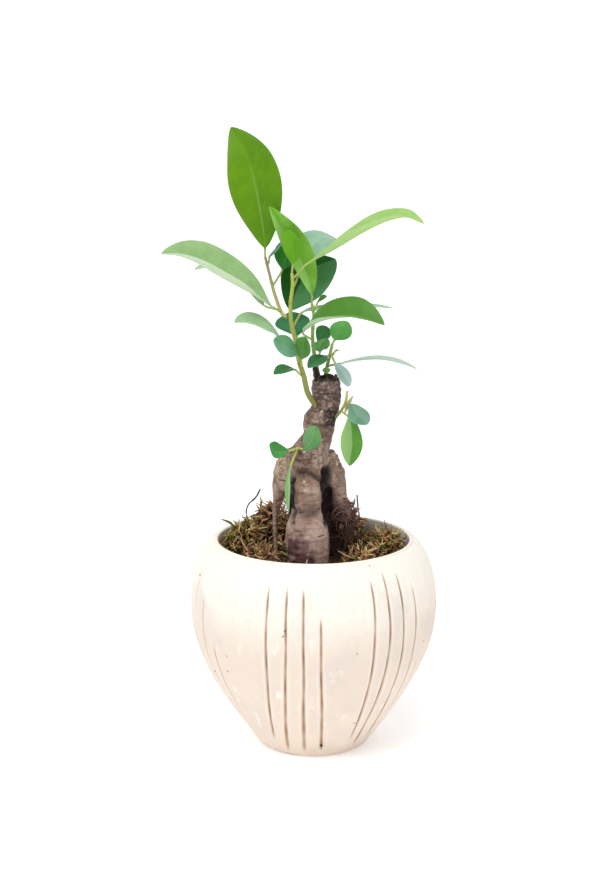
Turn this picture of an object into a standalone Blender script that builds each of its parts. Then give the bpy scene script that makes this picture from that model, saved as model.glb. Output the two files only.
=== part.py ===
"""Bonsai tree in a pot: a young ginseng fig on swollen roots, in a round clay pot.

The middle of the pot's foot is the origin, +Z is up and the front faces -Y.
Sizes are in millimetres and become metres where a mesh is made. Places on the
plant are (right, back, up), with "up" measured from the surface of the soil.
"""
import math

import bmesh
import bpy
from mathutils import Matrix, Vector, noise

MM = 0.001

# Clearance between pieces that touch
GAP = 0.3

# Straight pieces between two points of a smooth route
ROUTE_PIECES = 12

# Pot: a sine from foot to belly, then a quarter ellipse from belly to lip
POT_HEIGHT = 103.0
POT_FOOT_RADIUS = 26.5
POT_BELLY_RADIUS = 60.0
POT_BELLY_HEIGHT = 71.0
POT_MOUTH_RADIUS = 46.5
POT_WALL = 7.0
POT_FLOOR = 9.0
SHOULDER_POWER = 1.15
LIP_ROUND = 0.8
LIP_DEPTH = 8.0
FLOOR_FILLET = 3.0
POT_STEPS = 48

# Grooves pressed into the pot: (angle from the front, top, bottom), tops and bottoms
# as heights above the foot; angles grow toward +X
GROOVE_RADIUS = 0.7
GROOVE_END_RADIUS = 0.25
GROOVE_STEP = 9.0
GROOVES = (
    (-80, 84, 22), (-71, 86, 14), (-62, 88, 10), (-54, 85, 16),
    (-22, 86, 9), (-13, 87, 3), (-5, 85, 3), (3, 70, 3),
    (30, 87, 9), (38, 90, 4), (47, 89, 5), (56, 82, 20), (61, 44, 34), (66, 45, 33),
    (80, 87, 12), (89, 89, 5), (97, 85, 7), (106, 88, 15),
    (131, 84, 14), (140, 89, 6), (149, 87, 4), (158, 80, 10),
    (183, 87, 8), (192, 85, 3), (200, 90, 6), (209, 83, 17),
    (233, 82, 12), (242, 88, 5), (251, 86, 9), (259, 79, 19),
)

# Filling
SOIL_BELOW_RIM = 11.0
SOIL_STEPS = 36
MOSS_WALL_GAP = 1.0
MOSS_ROUGHNESS = 0.16

# Moss cushions: (angle from the front, depth as a share of the mouth's radius,
# degrees of the ring filled, height)
MOSS = {
    "moss_front_left": (-49, 0.473, 40, 13),
    "moss_left": (-96, 0.473, 42.5, 20),
    "moss_back_left": (-143, 0.43, 41.5, 22),
    "moss_back_right": (155, 0.43, 40, 18),
    "moss_right": (86, 0.43, 40, 16),
    "moss_front_right": (40, 0.43, 37.5, 12),
    "moss_front": (-3, 0.194, 30, 8),
}

# Trunk and swollen roots: routes of (right, back, up, radius)
TRUNK_VOXEL = 1.0
TRUNK_SMOOTH_TURNS = 4
TRUNK_KEEP = 0.1
TRUNK_ROUTES = (
    # neck, from the cut top down to where the roots part
    ((6, 0, 91, 6.4), (6, 0, 88, 6.8), (6, 0, 80, 7.4), (5, 0, 73, 6.7), (3, 0, 69, 8.1),
     (2, 0, 60, 6.8), (-1, 0, 55, 8.2), (-2, 0, 52, 10), (-3, 0, 46, 14), (-3, 0, 41, 16),
     (-3, 0, 37, 16)),
    # splinter left at the cut
    ((3, -1, 88, 2.6), (1, -2, 93, 2.0), (0, -2, 97, 1.2)),
    # knob on the left of the old ring scar
    ((3, -1, 69, 5), (-4, -2, 69, 2.6)),
    # left root, thinning to a tail
    ((-8, 2, 52, 6), (-13, 1, 45, 6.2), (-15.5, 0, 38, 4.8), (-17, 0, 30, 2.8),
     (-18.5, -1, 23, 1.6), (-18.5, -2, 13, 1.3), (-18, -2, -4, 1.3)),
    # middle root: two swellings with a waist
    ((-1, -3, 55, 8), (-4, -8, 45, 8.5), (-4, -12, 38, 8), (-3.5, -13.5, 32, 7.6),
     (-3.5, -14, 28, 7.0), (-3.5, -17, 21, 10), (-3, -20, 14, 10.9), (-2.5, -22, 7, 10.2),
     (-2.5, -22, 0, 7.5), (-2, -20, -8, 3.5)),
    # right root down to its cut end
    ((4, 3, 51, 7), (8, 4, 44, 6.6), (10.5, 5, 37, 5.6), (12, 5, 30, 4.6), (13.5, 5, 25, 5),
     (15.5, 2, 21, 4.6), (17.5, -1, 19, 4.2)),
    # its side root into the soil
    ((13.5, 6, 23, 4.4), (14, 8, 15, 4), (14, 9, 6, 3.6), (13, 10, -6, 2.6)),
    # back root
    ((0, 6, 51, 8), (-1, 12, 40, 7), (0, 16, 28, 6.4), (1, 18, 14, 6), (1, 18, 0, 4.6),
     (1, 17, -12, 2.6)),
)

# Shoots: route, radius at the foot, radius at the tip. Those on the trunk start inside it
# and are trimmed to its bark.
SHOOTS_ON_TRUNK = {
    "shoot_main": (((3, -3, 75), (-1, -6.5, 80), (-3, -8.5, 84), (-5, -10, 93), (-7, -10, 99),
                    (-8, -10, 107), (-10, -10, 114), (-11, -10, 121), (-11, -10, 128),
                    (-10, -10, 135), (-10.4, -10.2, 141)), 1.6, 1.0),
    "shoot_right": (((4, 3, 84), (2, 6.5, 91), (0.6, 7, 98), (-0.4, 5, 105), (-0.6, 4, 112),
                     (0, 4, 119), (-1, 4, 125)), 1.4, 0.9),
    "shoot_middle": (((6, 3, 86), (6, 7.5, 92), (7, 8, 96), (8.3, 8, 102), (9, 8, 105)), 1.2, 0.9),
    "shoot_side": (((5, -1, 67), (8.7, -2, 69.6), (11.5, -6, 73), (14, -8, 77), (15.2, -8, 80),
                    (15.8, -8, 85)), 1.1, 0.8),
    "shoot_low": (((-4, -4, 55), (-7, -8, 57), (-8, -13, 58)), 0.9, 0.8),
}
# The left shoot grows from the main one, at this height
SHOOT_LEFT = (((-14.5, -8, 121), (-17, -6, 126), (-19, -5, 132), (-21, -4, 140), (-23, -4, 148)),
              1.1, 0.8)
SHOOT_LEFT_UP = 119

# Leaves: (shoot, height on it or TIP, route of the midrib from the blade's base to its tip,
# width, way the upper side faces, degrees that each half is folded up, outline)
TIP = "tip"
PETIOLE_RADIUS = 0.6
LEAF_THICKNESS = 0.9
LEAF_TIP_WIDTH = 0.7
LEAF_FINE = 200
LEAF_STATIONS = (0, 0.07, 0.2, 0.36, 0.53, 0.7, 0.85, 0.95, 1)
# An outline's two powers: how far the widest place moves to the tip, and how full it is
POINTED = (1.05, 0.85)
BLUNT = (1.5, 0.55)
LEAVES = {
    # on the left shoot
    "leaf_top": ("shoot_left", TIP,
                 ((-23, -4, 151), (-26, -4, 174), (-31, -2, 194), (-39, 3, 208)),
                 25, (0, -1, 0.1), 10, POINTED),
    "leaf_left_long": ("shoot_left", 122,
                       ((-19, -11, 125), (-32, -15, 134), (-41, -19, 139), (-50, -22, 145),
                        (-59, -26, 150), (-70, -30, 152)), 28, (0, -0.25, 1), 42, POINTED),
    "leaf_left_behind": ("shoot_left", 123,
                         ((-23, 1, 124), (-35, 10, 135), (-47, 18, 141), (-58, 24, 139)),
                         16, (0, 0, 1), 25, POINTED),
    "leaf_dark_behind": ("shoot_left", 134, ((-15, 3, 141), (-13, 6, 148), (-12, 8, 156)),
                         12, (0, -1, 0.2), 6, POINTED),
    "leaf_narrow": ("shoot_left", 143, ((-21, -2, 147), (-18, 0, 151), (-14, 4, 156)),
                    6, (0.9, 0.3, -0.5), 6, POINTED),
    # on the main shoot
    "leaf_young": ("shoot_main", TIP, ((-10, -11, 145), (-10, -14, 153), (-13, -16, 162)),
                   9, (0, -1, 0), 12, POINTED),
    "leaf_right_long": ("shoot_main", 138,
                        ((-3, -15, 146), (7, -20, 152), (18, -26, 159), (30, -32, 166),
                         (40, -36, 169), (49, -40, 166)), 19, (0, -0.25, 1), 25, POINTED),
    "leaf_back_top": ("shoot_main", 133, ((-5, 4, 143), (-1, 11, 151), (6, 17, 155), (15, 23, 151)),
                      22, (0, -0.25, 1), 6, POINTED),
    "leaf_back_broad": ("shoot_main", 117,
                        ((-11, 4, 121), (-8, 12, 130), (0, 20, 140), (11, 26, 144)),
                        25, (0, -1, 0.3), 14, POINTED),
    "leaf_back_right": ("shoot_main", 115,
                        ((-5, 4, 121), (3, 13, 121), (15, 18, 121), (28, 23, 121), (39, 26, 120)),
                        12, (0, 0, 1), 15, POINTED),
    "leaf_left_pale": ("shoot_main", 105,
                       ((-15, -14, 110), (-19, -17, 114), (-26, -21, 118), (-33, -25, 120.5),
                        (-37, -27, 120)), 16, (0, -0.4, 0.9), 15, POINTED),
    "leaf_back_teal": ("shoot_main", 103, ((-8, -2, 110), (-10, 8, 114), (-11, 18, 119)),
                       17, (0, -0.8, 0.6), 8, POINTED),
    "leaf_front_left": ("shoot_main", 98, ((-8, -15, 103), (-12, -20, 107), (-19, -26, 112)),
                        10, (-0.2, -0.85, 0.5), 10, BLUNT),
    "leaf_front_olive": ("shoot_main", 95, ((-6, -14, 101), (-5, -19, 107), (-4, -24, 113)),
                         9, (-0.2, -0.9, 0.4), 10, BLUNT),
    "leaf_low_left": ("shoot_main", 91, ((-9, -14, 96), (-12, -17, 97), (-19, -21, 95)),
                      9, (0, -0.3, 0.95), 10, POINTED),
    # on the right shoot
    "leaf_front_curled": ("shoot_right", TIP,
                          ((-1, 2, 129), (-4, -1, 140), (-10, -4, 152), (-16, -8, 163),
                           (-21, -10, 172)), 17, (0.2, -0.9, 0.35), 40, POINTED),
    "leaf_bud": ("shoot_right", 120, ((2, 2, 126), (4, 1, 128), (6, 0, 129)),
                 3, (0, -0.7, 0.7), 10, BLUNT),
    "leaf_front_right": ("shoot_right", 107,
                         ((-5, -8, 113), (2, -15, 119), (12, -23, 122), (22, -30, 123),
                          (32, -36, 120)), 21, (0, -0.28, 1), 32, POINTED),
    "leaf_mid_dark": ("shoot_right", 102, ((2, 9, 106), (4, 12, 109), (7, 15, 112)),
                      8, (0.3, -0.8, 0.5), 8, BLUNT),
    "leaf_mid_olive": ("shoot_right", 96, ((3, 2, 102), (3, -4, 106), (6, -8, 110)),
                       8, (0.2, -0.9, 0.4), 10, BLUNT),
    # on the middle shoot
    "leaf_round": ("shoot_middle", TIP, ((10, 6, 107), (12, 2, 111), (16, -1, 117)),
                   11, (0.2, -0.95, 0.2), 6, BLUNT),
    "leaf_thin": ("shoot_middle", 94, ((12, 4, 96), (21, 2, 98), (30, 0, 99), (40, -3, 98),
                                       (49, -6, 95)), 12, (0, 0, 1), 6, POINTED),
    "leaf_low_centre": ("shoot_middle", 98, ((6, 2, 100), (2, -4, 99), (-3, -9, 96)),
                        8, (-0.3, -0.8, 0.5), 8, POINTED),
    "leaf_pale_hanging": ("shoot_middle", 101, ((10, 2, 97), (13, 0, 93), (17, -3, 86)),
                          7, (0.5, -0.85, 0.2), 10, BLUNT),
    "leaf_stump": ("shoot_middle", 92.8, ((6, 4, 94), (6, 1, 93.5), (6, -3, 92.5)),
                   4, (0, -0.7, 0.7), 8, BLUNT),
    # on the side shoot
    "leaf_side_round": ("shoot_side", 79, ((17, -11, 79), (20, -15, 75), (25, -20, 71)),
                        10, (0.1, -0.8, 0.6), 6, BLUNT),
    "leaf_side_hanging": ("shoot_side", 75, ((16, -10, 73), (18, -12, 63), (17, -12, 49)),
                          12, (-0.1, -0.95, 0.1), 28, POINTED),
    # on the low shoot
    "leaf_low_up": ("shoot_low", 57.7, ((-5, -14, 58), (-1, -17, 63), (1, -18, 70)),
                    9, (0, -0.95, 0.3), 8, BLUNT),
    "leaf_low_out": ("shoot_low", 57.9, ((-12, -14, 57), (-17, -16, 57), (-21, -17, 61)),
                     8, (0.1, -0.8, 0.55), 10, BLUNT),
    "leaf_low_hanging": ("shoot_low", 57.5, ((-11, -15, 50), (-12, -20, 40), (-12, -22, 29)),
                         8, (-0.9, -0.3, 0), 8, POINTED),
}

# Dry ends of roots: the left one stands on the soil between two cushions, the right one
# grows from the cut root. Route and radius.
DRY_ROOT_LEFT = (((-30.5, 17, GAP), (-31, 16, 8), (-32, 10, 17), (-33, 9, 21), (-32, 9, 25),
                  (-28, 9, 29), (-26, 9, 33)), 0.4)
DRY_ROOT_RIGHT = (((18, -1, 19), (22, -2, 21), (21.5, -2, 26), (21, -3, 33)), 0.35)

# Colour as linear RGB, roughness
CLAY = ((0.83, 0.76, 0.68), 0.75)
SOIL = ((0.035, 0.022, 0.014), 0.95)
BARK = ((0.23, 0.17, 0.13), 0.85)
MOSS_BROWN = ((0.17, 0.11, 0.05), 0.95)
SHOOT_GREEN = ((0.33, 0.38, 0.12), 0.6)
DRY_BROWN = ((0.12, 0.09, 0.07), 0.8)
LEAF_GREEN = ((0.09, 0.27, 0.05), 0.4)
LEAF_LIGHT = ((0.2, 0.42, 0.04), 0.4)
LEAF_PALE = ((0.36, 0.5, 0.3), 0.4)
LEAF_TEAL = ((0.12, 0.36, 0.22), 0.4)
LEAF_DARK = ((0.02, 0.13, 0.04), 0.4)
LIGHT_LEAVES = ("leaf_top", "leaf_young", "leaf_front_curled", "leaf_right_long")
PALE_LEAVES = ("leaf_left_long", "leaf_left_pale", "leaf_thin", "leaf_pale_hanging",
               "leaf_back_top", "leaf_back_right", "leaf_left_behind")
TEAL_LEAVES = ("leaf_back_teal", "leaf_front_left", "leaf_side_round", "leaf_low_centre")
DARK_LEAVES = ("leaf_dark_behind", "leaf_back_broad", "leaf_narrow")


# ---- Worked out from the sizes above ----------------------------------------

SOIL_UP = POT_HEIGHT - SOIL_BELOW_RIM


def pot_outer(height):
    """Outer radius of the pot at a height above its foot."""
    if height <= POT_BELLY_HEIGHT:
        share = math.sin(math.pi / 2 * height / POT_BELLY_HEIGHT)
        return POT_FOOT_RADIUS + (POT_BELLY_RADIUS - POT_FOOT_RADIUS) * share
    rise = (height - POT_BELLY_HEIGHT) / (POT_HEIGHT - POT_BELLY_HEIGHT)
    lip = POT_MOUTH_RADIUS + LIP_ROUND
    return lip + (POT_BELLY_RADIUS - lip) * math.sqrt(max(0, 1 - rise * rise)) ** SHOULDER_POWER


def pot_inner(height):
    """Inner radius of the pot, at a height between its floor and its lip."""
    below_lip = POT_HEIGHT - LIP_DEPTH
    if height <= below_lip:
        return pot_outer(height) - POT_WALL
    share = (height - below_lip) / LIP_DEPTH
    start = pot_outer(below_lip) - POT_WALL
    return start + (POT_MOUTH_RADIUS - start) * math.sin(math.pi / 2 * share)


def wall_heights():
    """Heights where the pot's inside and the soil's side both have a ring, up to the soil."""
    belly = [POT_BELLY_HEIGHT * share for share in (0.28, 0.45, 0.63, 0.82, 1)]
    above = [POT_BELLY_HEIGHT + (SOIL_UP - POT_BELLY_HEIGHT) * share for share in (0.3, 0.6, 0.85)]
    return [POT_FLOOR + FLOOR_FILLET] + [h for h in belly + above if h < SOIL_UP] + [SOIL_UP]


def on_plant(place):
    """World position, in metres, of a place measured from the soil's surface."""
    right, back, up = place
    return Vector((right, back, up + SOIL_UP)) * MM


def smooth_route(points, count):
    """Count points at equal steps along a smooth curve through the given ones."""
    points = [Vector(p) for p in points]
    spans = [(b - a).length for a, b in zip(points, points[1:])]
    slopes = [(b - a) / span for a, b, span in zip(points, points[1:], spans)]
    ways = [slopes[0]]
    for before, after, span_before, span_after in zip(slopes, slopes[1:], spans, spans[1:]):
        ways.append((before * span_after + after * span_before) / (span_before + span_after))
    ways.append(slopes[-1])
    fine = [points[0]]
    for i, span in enumerate(spans):
        for piece in range(1, ROUTE_PIECES + 1):
            t = piece / ROUTE_PIECES
            fine.append(points[i] * (2 * t ** 3 - 3 * t ** 2 + 1)
                        + ways[i] * span * (t ** 3 - 2 * t ** 2 + t)
                        + points[i + 1] * (3 * t ** 2 - 2 * t ** 3)
                        + ways[i + 1] * span * (t ** 3 - t ** 2))
    lengths = [0.0]
    for a, b in zip(fine, fine[1:]):
        lengths.append(lengths[-1] + (b - a).length)
    return [point_along(fine, lengths, lengths[-1] * i / (count - 1)) for i in range(count)]


def point_along(fine, lengths, distance):
    """The point at a distance along a fine polyline whose running lengths are given."""
    for i in range(1, len(fine)):
        if lengths[i] >= distance - 1e-9:
            step = lengths[i] - lengths[i - 1]
            share = (distance - lengths[i - 1]) / step if step > 0 else 0
            return fine[i - 1].lerp(fine[i], share)
    return fine[-1].copy()


# ---- Blender helpers ---------------------------------------------------------

def new_material(name, look):
    """A Principled material with a plain colour."""
    colour, roughness = look
    material = bpy.data.materials.new(name)
    material.use_nodes = True
    shader = material.node_tree.nodes["Principled BSDF"]
    shader.inputs["Base Color"].default_value = (*colour, 1)
    shader.inputs["Roughness"].default_value = roughness
    shader.inputs["Metallic"].default_value = 0
    material.diffuse_color = (*colour, 1)
    return material


def new_object(name, data, collection, look=None):
    """Links data as an object, with its own material."""
    thing = bpy.data.objects.new(name, data)
    collection.objects.link(thing)
    if look:
        data.materials.clear()
        data.materials.append(new_material(name, look))
    return thing


def mesh_from(bm, name):
    """A mesh made from a bmesh, which is freed."""
    bmesh.ops.recalc_face_normals(bm, faces=bm.faces)
    mesh = bpy.data.meshes.new(name)
    bm.to_mesh(mesh)
    bm.free()
    return mesh


def tube_curve(name, points, resolution):
    """A tube as a curve through (x, y, z, radius) points in metres, with filled caps."""
    curve = bpy.data.curves.new(name, "CURVE")
    curve.dimensions = "3D"
    curve.bevel_depth = 1.0
    curve.bevel_resolution = resolution
    curve.use_fill_caps = True
    spline = curve.splines.new("POLY")
    spline.points.add(len(points) - 1)
    for point, (x, y, z, radius) in zip(spline.points, points):
        point.co = (x, y, z, 1)
        point.radius = radius
    return curve


def tube_mesh(name, points, resolution, collection, look=None):
    """The same tube as a mesh object whose caps are welded."""
    source = new_object(name + "_curve", tube_curve(name, points, resolution), collection)
    graph = bpy.context.evaluated_depsgraph_get()
    mesh = bpy.data.meshes.new_from_object(source.evaluated_get(graph))
    bm = bmesh.new()
    bm.from_mesh(mesh)
    bmesh.ops.remove_doubles(bm, verts=bm.verts, dist=1e-6)
    bmesh.ops.recalc_face_normals(bm, faces=bm.faces)
    bm.to_mesh(mesh)
    bm.free()
    mesh.name = name
    thing = new_object(name, mesh, collection, look)
    thing.matrix_world = source.matrix_world
    bpy.data.objects.remove(source)
    return thing


def joined(name, pieces, collection, look=None):
    """One object that holds the meshes of several, which are removed."""
    bm = bmesh.new()
    for piece in pieces:
        bm.from_mesh(piece.data)
        bpy.data.objects.remove(piece)
    return new_object(name, mesh_from(bm, name), collection, look)


def cut(thing, cutter):
    """Takes a cutter's shape out of an object."""
    modifier = thing.modifiers.new("cut_by_" + cutter.name, "BOOLEAN")
    modifier.operation = "DIFFERENCE"
    modifier.object = cutter
    modifier.solver = "EXACT"


def as_cutter(thing):
    """Hides a cutter from the render and shows it as a wire."""
    thing.hide_render = True
    thing.display_type = "WIRE"
    return thing


def turned(name, outline, steps, collection, look):
    """A solid turned about Z from an outline of (radius, height)."""
    bm = bmesh.new()
    verts = [bm.verts.new((radius * MM, 0, height * MM)) for radius, height in outline]
    for a, b in zip(verts, verts[1:]):
        bm.edges.new((a, b))
    mesh = bpy.data.meshes.new(name)
    bm.to_mesh(mesh)
    bm.free()
    thing = new_object(name, mesh, collection, look)
    screw = thing.modifiers.new("turn", "SCREW")
    screw.axis = "Z"
    screw.steps = screw.render_steps = steps
    screw.use_merge_vertices = True
    screw.merge_threshold = 1e-6
    screw.use_smooth_shade = False
    return thing


# ---- Pot ---------------------------------------------------------------------

def pot_outline():
    """Inside from the floor's middle up to the lip, then down the outside to the foot."""
    inner = wall_heights() + [POT_HEIGHT - LIP_DEPTH]
    outline = [(0, POT_FLOOR), (pot_inner(inner[0]) - FLOOR_FILLET, POT_FLOOR)]
    outline += [(pot_inner(height), height) for height in inner]
    outline += [(pot_inner(POT_HEIGHT - h), POT_HEIGHT - h) for h in (5, 2.5)]
    for turn in (0, 45, 90):
        angle = math.radians(turn)
        outline.append((POT_MOUTH_RADIUS + LIP_ROUND * (1 - math.cos(angle)),
                        POT_HEIGHT - LIP_ROUND * (1 - math.sin(angle))))
    shoulder = POT_HEIGHT - POT_BELLY_HEIGHT
    for turn in (78, 67, 56, 45, 34, 22, 10):
        height = POT_BELLY_HEIGHT + shoulder * math.sin(math.radians(turn))
        outline.append((pot_outer(height), height))
    belly = [POT_BELLY_HEIGHT * share for share in (1, 0.87, 0.73, 0.6, 0.47, 0.34, 0.22, 0.11, 0.02)]
    outline += [(pot_outer(height), height) for height in belly]
    outline += [(POT_FOOT_RADIUS - 1, 0), (0, 0)]
    return outline


def groove_cutter(index, angle, top, bottom, collection):
    """A thin tube along the wall's surface that narrows to both ends."""
    turn = math.radians(angle)
    count = max(3, round((top - bottom) / GROOVE_STEP) + 1)
    points = []
    for i in range(count):
        height = bottom + (top - bottom) * i / (count - 1)
        radius = pot_outer(height)
        fat = min(1, 3 * min(i, count - 1 - i) / (count - 1))
        points.append((radius * math.sin(turn) * MM, -radius * math.cos(turn) * MM, height * MM,
                       (GROOVE_END_RADIUS + (GROOVE_RADIUS - GROOVE_END_RADIUS) * fat) * MM))
    return tube_mesh("groove_%d" % index, points, 0, collection)


def make_pot(parts, cutters):
    pot = turned("pot", pot_outline(), POT_STEPS, parts, CLAY)
    tubes = [groove_cutter(i, *groove, cutters) for i, groove in enumerate(GROOVES)]
    cut(pot, as_cutter(joined("grooves", tubes, cutters)))


# ---- Trunk -------------------------------------------------------------------

def make_trunk(parts):
    """Tubes along the wood's routes, melted into one skin."""
    tubes = []
    for i, route in enumerate(TRUNK_ROUTES):
        places = smooth_route([p[:3] for p in route], 3 * len(route))
        spans = [0.0]
        for a, b in zip(route, route[1:]):
            spans.append(spans[-1] + (Vector(b[:3]) - Vector(a[:3])).length)
        points = []
        for j, place in enumerate(places):
            distance = spans[-1] * j / (len(places) - 1)
            k = max(n for n in range(len(spans) - 1) if spans[n] <= distance + 1e-9)
            share = (distance - spans[k]) / (spans[k + 1] - spans[k])
            radius = route[k][3] + (route[k + 1][3] - route[k][3]) * share
            points.append((*on_plant(place), radius * MM))
        tubes.append(tube_mesh("wood_%d" % i, points, 4, parts))
    trunk = joined("trunk", tubes, parts, BARK)
    melt = trunk.modifiers.new("melt", "REMESH")
    melt.mode = "VOXEL"
    melt.voxel_size = TRUNK_VOXEL * MM
    ease = trunk.modifiers.new("ease", "SMOOTH")
    ease.factor = 0.5
    ease.iterations = TRUNK_SMOOTH_TURNS
    thin = trunk.modifiers.new("thin", "DECIMATE")
    thin.ratio = TRUNK_KEEP
    return trunk


def trunk_clearance(trunk, cutters):
    """The trunk's skin moved out by the gap, to cut what lies against it."""
    graph = bpy.context.evaluated_depsgraph_get()
    mesh = bpy.data.meshes.new_from_object(trunk.evaluated_get(graph))
    cutter = as_cutter(new_object("trunk_clearance", mesh, cutters))
    grow = cutter.modifiers.new("grow", "DISPLACE")
    grow.strength = GAP * MM
    grow.mid_level = 0
    return cutter


# ---- Filling -----------------------------------------------------------------

def make_soil(parts, clearance):
    bottom = POT_FLOOR + GAP
    heights = wall_heights()
    outline = [(0, SOIL_UP)]
    outline += [(pot_inner(height) - 2 * GAP, height) for height in reversed(heights)]
    outline += [(pot_inner(heights[0]) - FLOOR_FILLET - GAP, bottom), (0, bottom)]
    soil = turned("soil", outline, SOIL_STEPS, parts, SOIL)
    cut(soil, clearance)


def make_moss(name, angle, depth, span, height, parts, clearance):
    """A lumpy cushion that lies on the soil against the pot's wall."""
    radial = POT_MOUTH_RADIUS * depth
    middle = POT_MOUTH_RADIUS - MOSS_WALL_GAP - radial / 2
    around = 2 * middle * math.tan(math.radians(span / 2))
    bm = bmesh.new()
    bmesh.ops.create_icosphere(bm, subdivisions=2, radius=1)
    bmesh.ops.bisect_plane(bm, geom=bm.verts[:] + bm.edges[:] + bm.faces[:], plane_co=(0, 0, 0),
                           plane_no=(0, 0, -1), clear_outer=True)
    edges = [e for e in bm.edges if e.is_boundary]
    bmesh.ops.contextual_create(bm, geom=edges)
    size = Vector((around / 2, radial / 2, height))
    for vert in bm.verts:
        lump = MOSS_ROUGHNESS * noise.noise(vert.co * 2.1 + Vector((angle, 0, 0)))
        shrink = 1 - MOSS_ROUGHNESS / 2 + lump if vert.co.z > 0.01 else 1
        vert.co = vert.co * shrink * size
    place = Matrix.Rotation(math.radians(angle), 4, "Z") @ Matrix.Translation((0, -middle, 0))
    bmesh.ops.transform(bm, matrix=place, verts=bm.verts)
    bmesh.ops.translate(bm, vec=(0, 0, SOIL_UP + GAP), verts=bm.verts)
    bmesh.ops.scale(bm, vec=(MM, MM, MM), verts=bm.verts)
    cushion = new_object(name, mesh_from(bm, name), parts, MOSS_BROWN)
    cut(cushion, clearance)


# ---- Shoots ------------------------------------------------------------------

def shoot_points(route, foot, tip):
    """Points with radii, in millimetres, along a shoot that tapers."""
    places = smooth_route(route, 2 * len(route))
    last = len(places) - 1
    return [(*place, foot + (tip - foot) * i / last) for i, place in enumerate(places)]


def spot_at(shoot, up):
    """Where a shoot passes a height: the place, its direction and its radius."""
    if up == TIP:
        end = Vector(shoot[-1][:3])
        return end, (end - Vector(shoot[-2][:3])).normalized(), shoot[-1][3]
    for a, b in zip(shoot, shoot[1:]):
        if a[2] <= up <= b[2]:
            share = (up - a[2]) / (b[2] - a[2])
            start, end = Vector(a[:3]), Vector(b[:3])
            return start.lerp(end, share), (end - start).normalized(), a[3] + (b[3] - a[3]) * share
    raise ValueError("no such height on the shoot: %s" % up)


def seat_on(shoot, up, target, radius):
    """Start of a stalk toward target that leaves the gap to the shoot's skin or tip."""
    place, along, thick = spot_at(shoot, up)
    way = (Vector(target) - place).normalized()
    lean = abs(way.dot(along))
    across = math.sqrt(1 - lean * lean)
    if up == TIP:
        return place + way * (GAP + radius * across) / lean
    return place + way * (thick + GAP + radius * lean) / across


def make_shoots(parts, clearance):
    """Every shoot, and its points for what grows on it."""
    shoots = {name: shoot_points(*spec) for name, spec in SHOOTS_ON_TRUNK.items()}
    route, foot, tip = SHOOT_LEFT
    start = seat_on(shoots["shoot_main"], SHOOT_LEFT_UP, route[0], foot)
    shoots["shoot_left"] = shoot_points((tuple(start),) + route, foot, tip)
    for name, points in shoots.items():
        world = [(*on_plant(p[:3]), p[3] * MM) for p in points]
        shoot = tube_mesh(name, world, 1, parts, SHOOT_GREEN)
        if name in SHOOTS_ON_TRUNK:
            cut(shoot, clearance)
    return shoots


def make_dry_root(name, route, radius, parts):
    points = [(*on_plant(p), radius * MM) for p in smooth_route(route, 3 * len(route))]
    return tube_mesh(name, points, 0, parts, DRY_BROWN)


# ---- Leaves ------------------------------------------------------------------

def blade_width(share, outline):
    """Width of a blade, as a share of its greatest, from its base (0) to its tip (1)."""
    skew, fullness = outline
    return max(0.0, math.sin(math.pi * share ** skew)) ** fullness


def leaf_look(name):
    for look, names in ((LEAF_LIGHT, LIGHT_LEAVES), (LEAF_PALE, PALE_LEAVES),
                        (LEAF_TEAL, TEAL_LEAVES), (LEAF_DARK, DARK_LEAVES)):
        if name in names:
            return look
    return LEAF_GREEN


def make_leaf(name, shoots, spec, parts):
    """A loft of four-cornered sections: a stalk, then a blade folded along its midrib."""
    shoot, up, route, width, facing, fold, outline = spec
    start = seat_on(shoots[shoot], up, route[0], PETIOLE_RADIUS)
    fine = smooth_route((tuple(start),) + route, LEAF_FINE)
    last = LEAF_FINE - 1
    base = min(range(LEAF_FINE), key=lambda i: (fine[i] - Vector(route[0])).length)
    stops = [(round(base * share), 0.0) for share in (0, 0.5)]
    stops += [(round(base + (last - base) * share), share) for share in LEAF_STATIONS]
    fold = math.radians(fold)
    bm = bmesh.new()
    rings = []
    for index, share in stops:
        middle = fine[index]
        along = (fine[min(index + 1, last)] - fine[max(index - 1, 0)]).normalized()
        up_side = Vector(facing)
        up_side = (up_side - along * up_side.dot(along)).normalized()
        across = along.cross(up_side)
        least = PETIOLE_RADIUS if share < 0.5 else LEAF_TIP_WIDTH / 2
        half = max(blade_width(share, outline) * width / 2, least)
        thick = PETIOLE_RADIUS if share == 0 else LEAF_THICKNESS / 2
        bend = fold * min(1, share * 8)
        lift = up_side * half * math.sin(bend)
        spread = across * half * math.cos(bend)
        corners = (middle - spread + lift, middle + up_side * thick,
                   middle + spread + lift, middle - up_side * thick)
        rings.append([bm.verts.new(on_plant(corner)) for corner in corners])
    for a, b in zip(rings, rings[1:]):
        for i in range(4):
            j = (i + 1) % 4
            bm.faces.new((a[i], a[j], b[j], b[i]))
    bm.faces.new(rings[0])
    bm.faces.new(rings[-1])
    new_object(name, mesh_from(bm, name), parts, leaf_look(name))


# ---- The whole plant ---------------------------------------------------------

def main():
    for thing in list(bpy.data.objects):
        bpy.data.objects.remove(thing)
    parts = bpy.data.collections.new("bonsai_in_pot")
    cutters = bpy.data.collections.new("cutters")
    bpy.context.scene.collection.children.link(parts)
    bpy.context.scene.collection.children.link(cutters)
    make_pot(parts, cutters)
    trunk = make_trunk(parts)
    clearance = trunk_clearance(trunk, cutters)
    make_soil(parts, clearance)
    for name, spec in MOSS.items():
        make_moss(name, *spec, parts, clearance)
    shoots = make_shoots(parts, clearance)
    for name, spec in LEAVES.items():
        make_leaf(name, shoots, spec, parts)
    make_dry_root("dry_root_left", *DRY_ROOT_LEFT, parts)
    cut(make_dry_root("dry_root_right", *DRY_ROOT_RIGHT, parts), clearance)


main()
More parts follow.
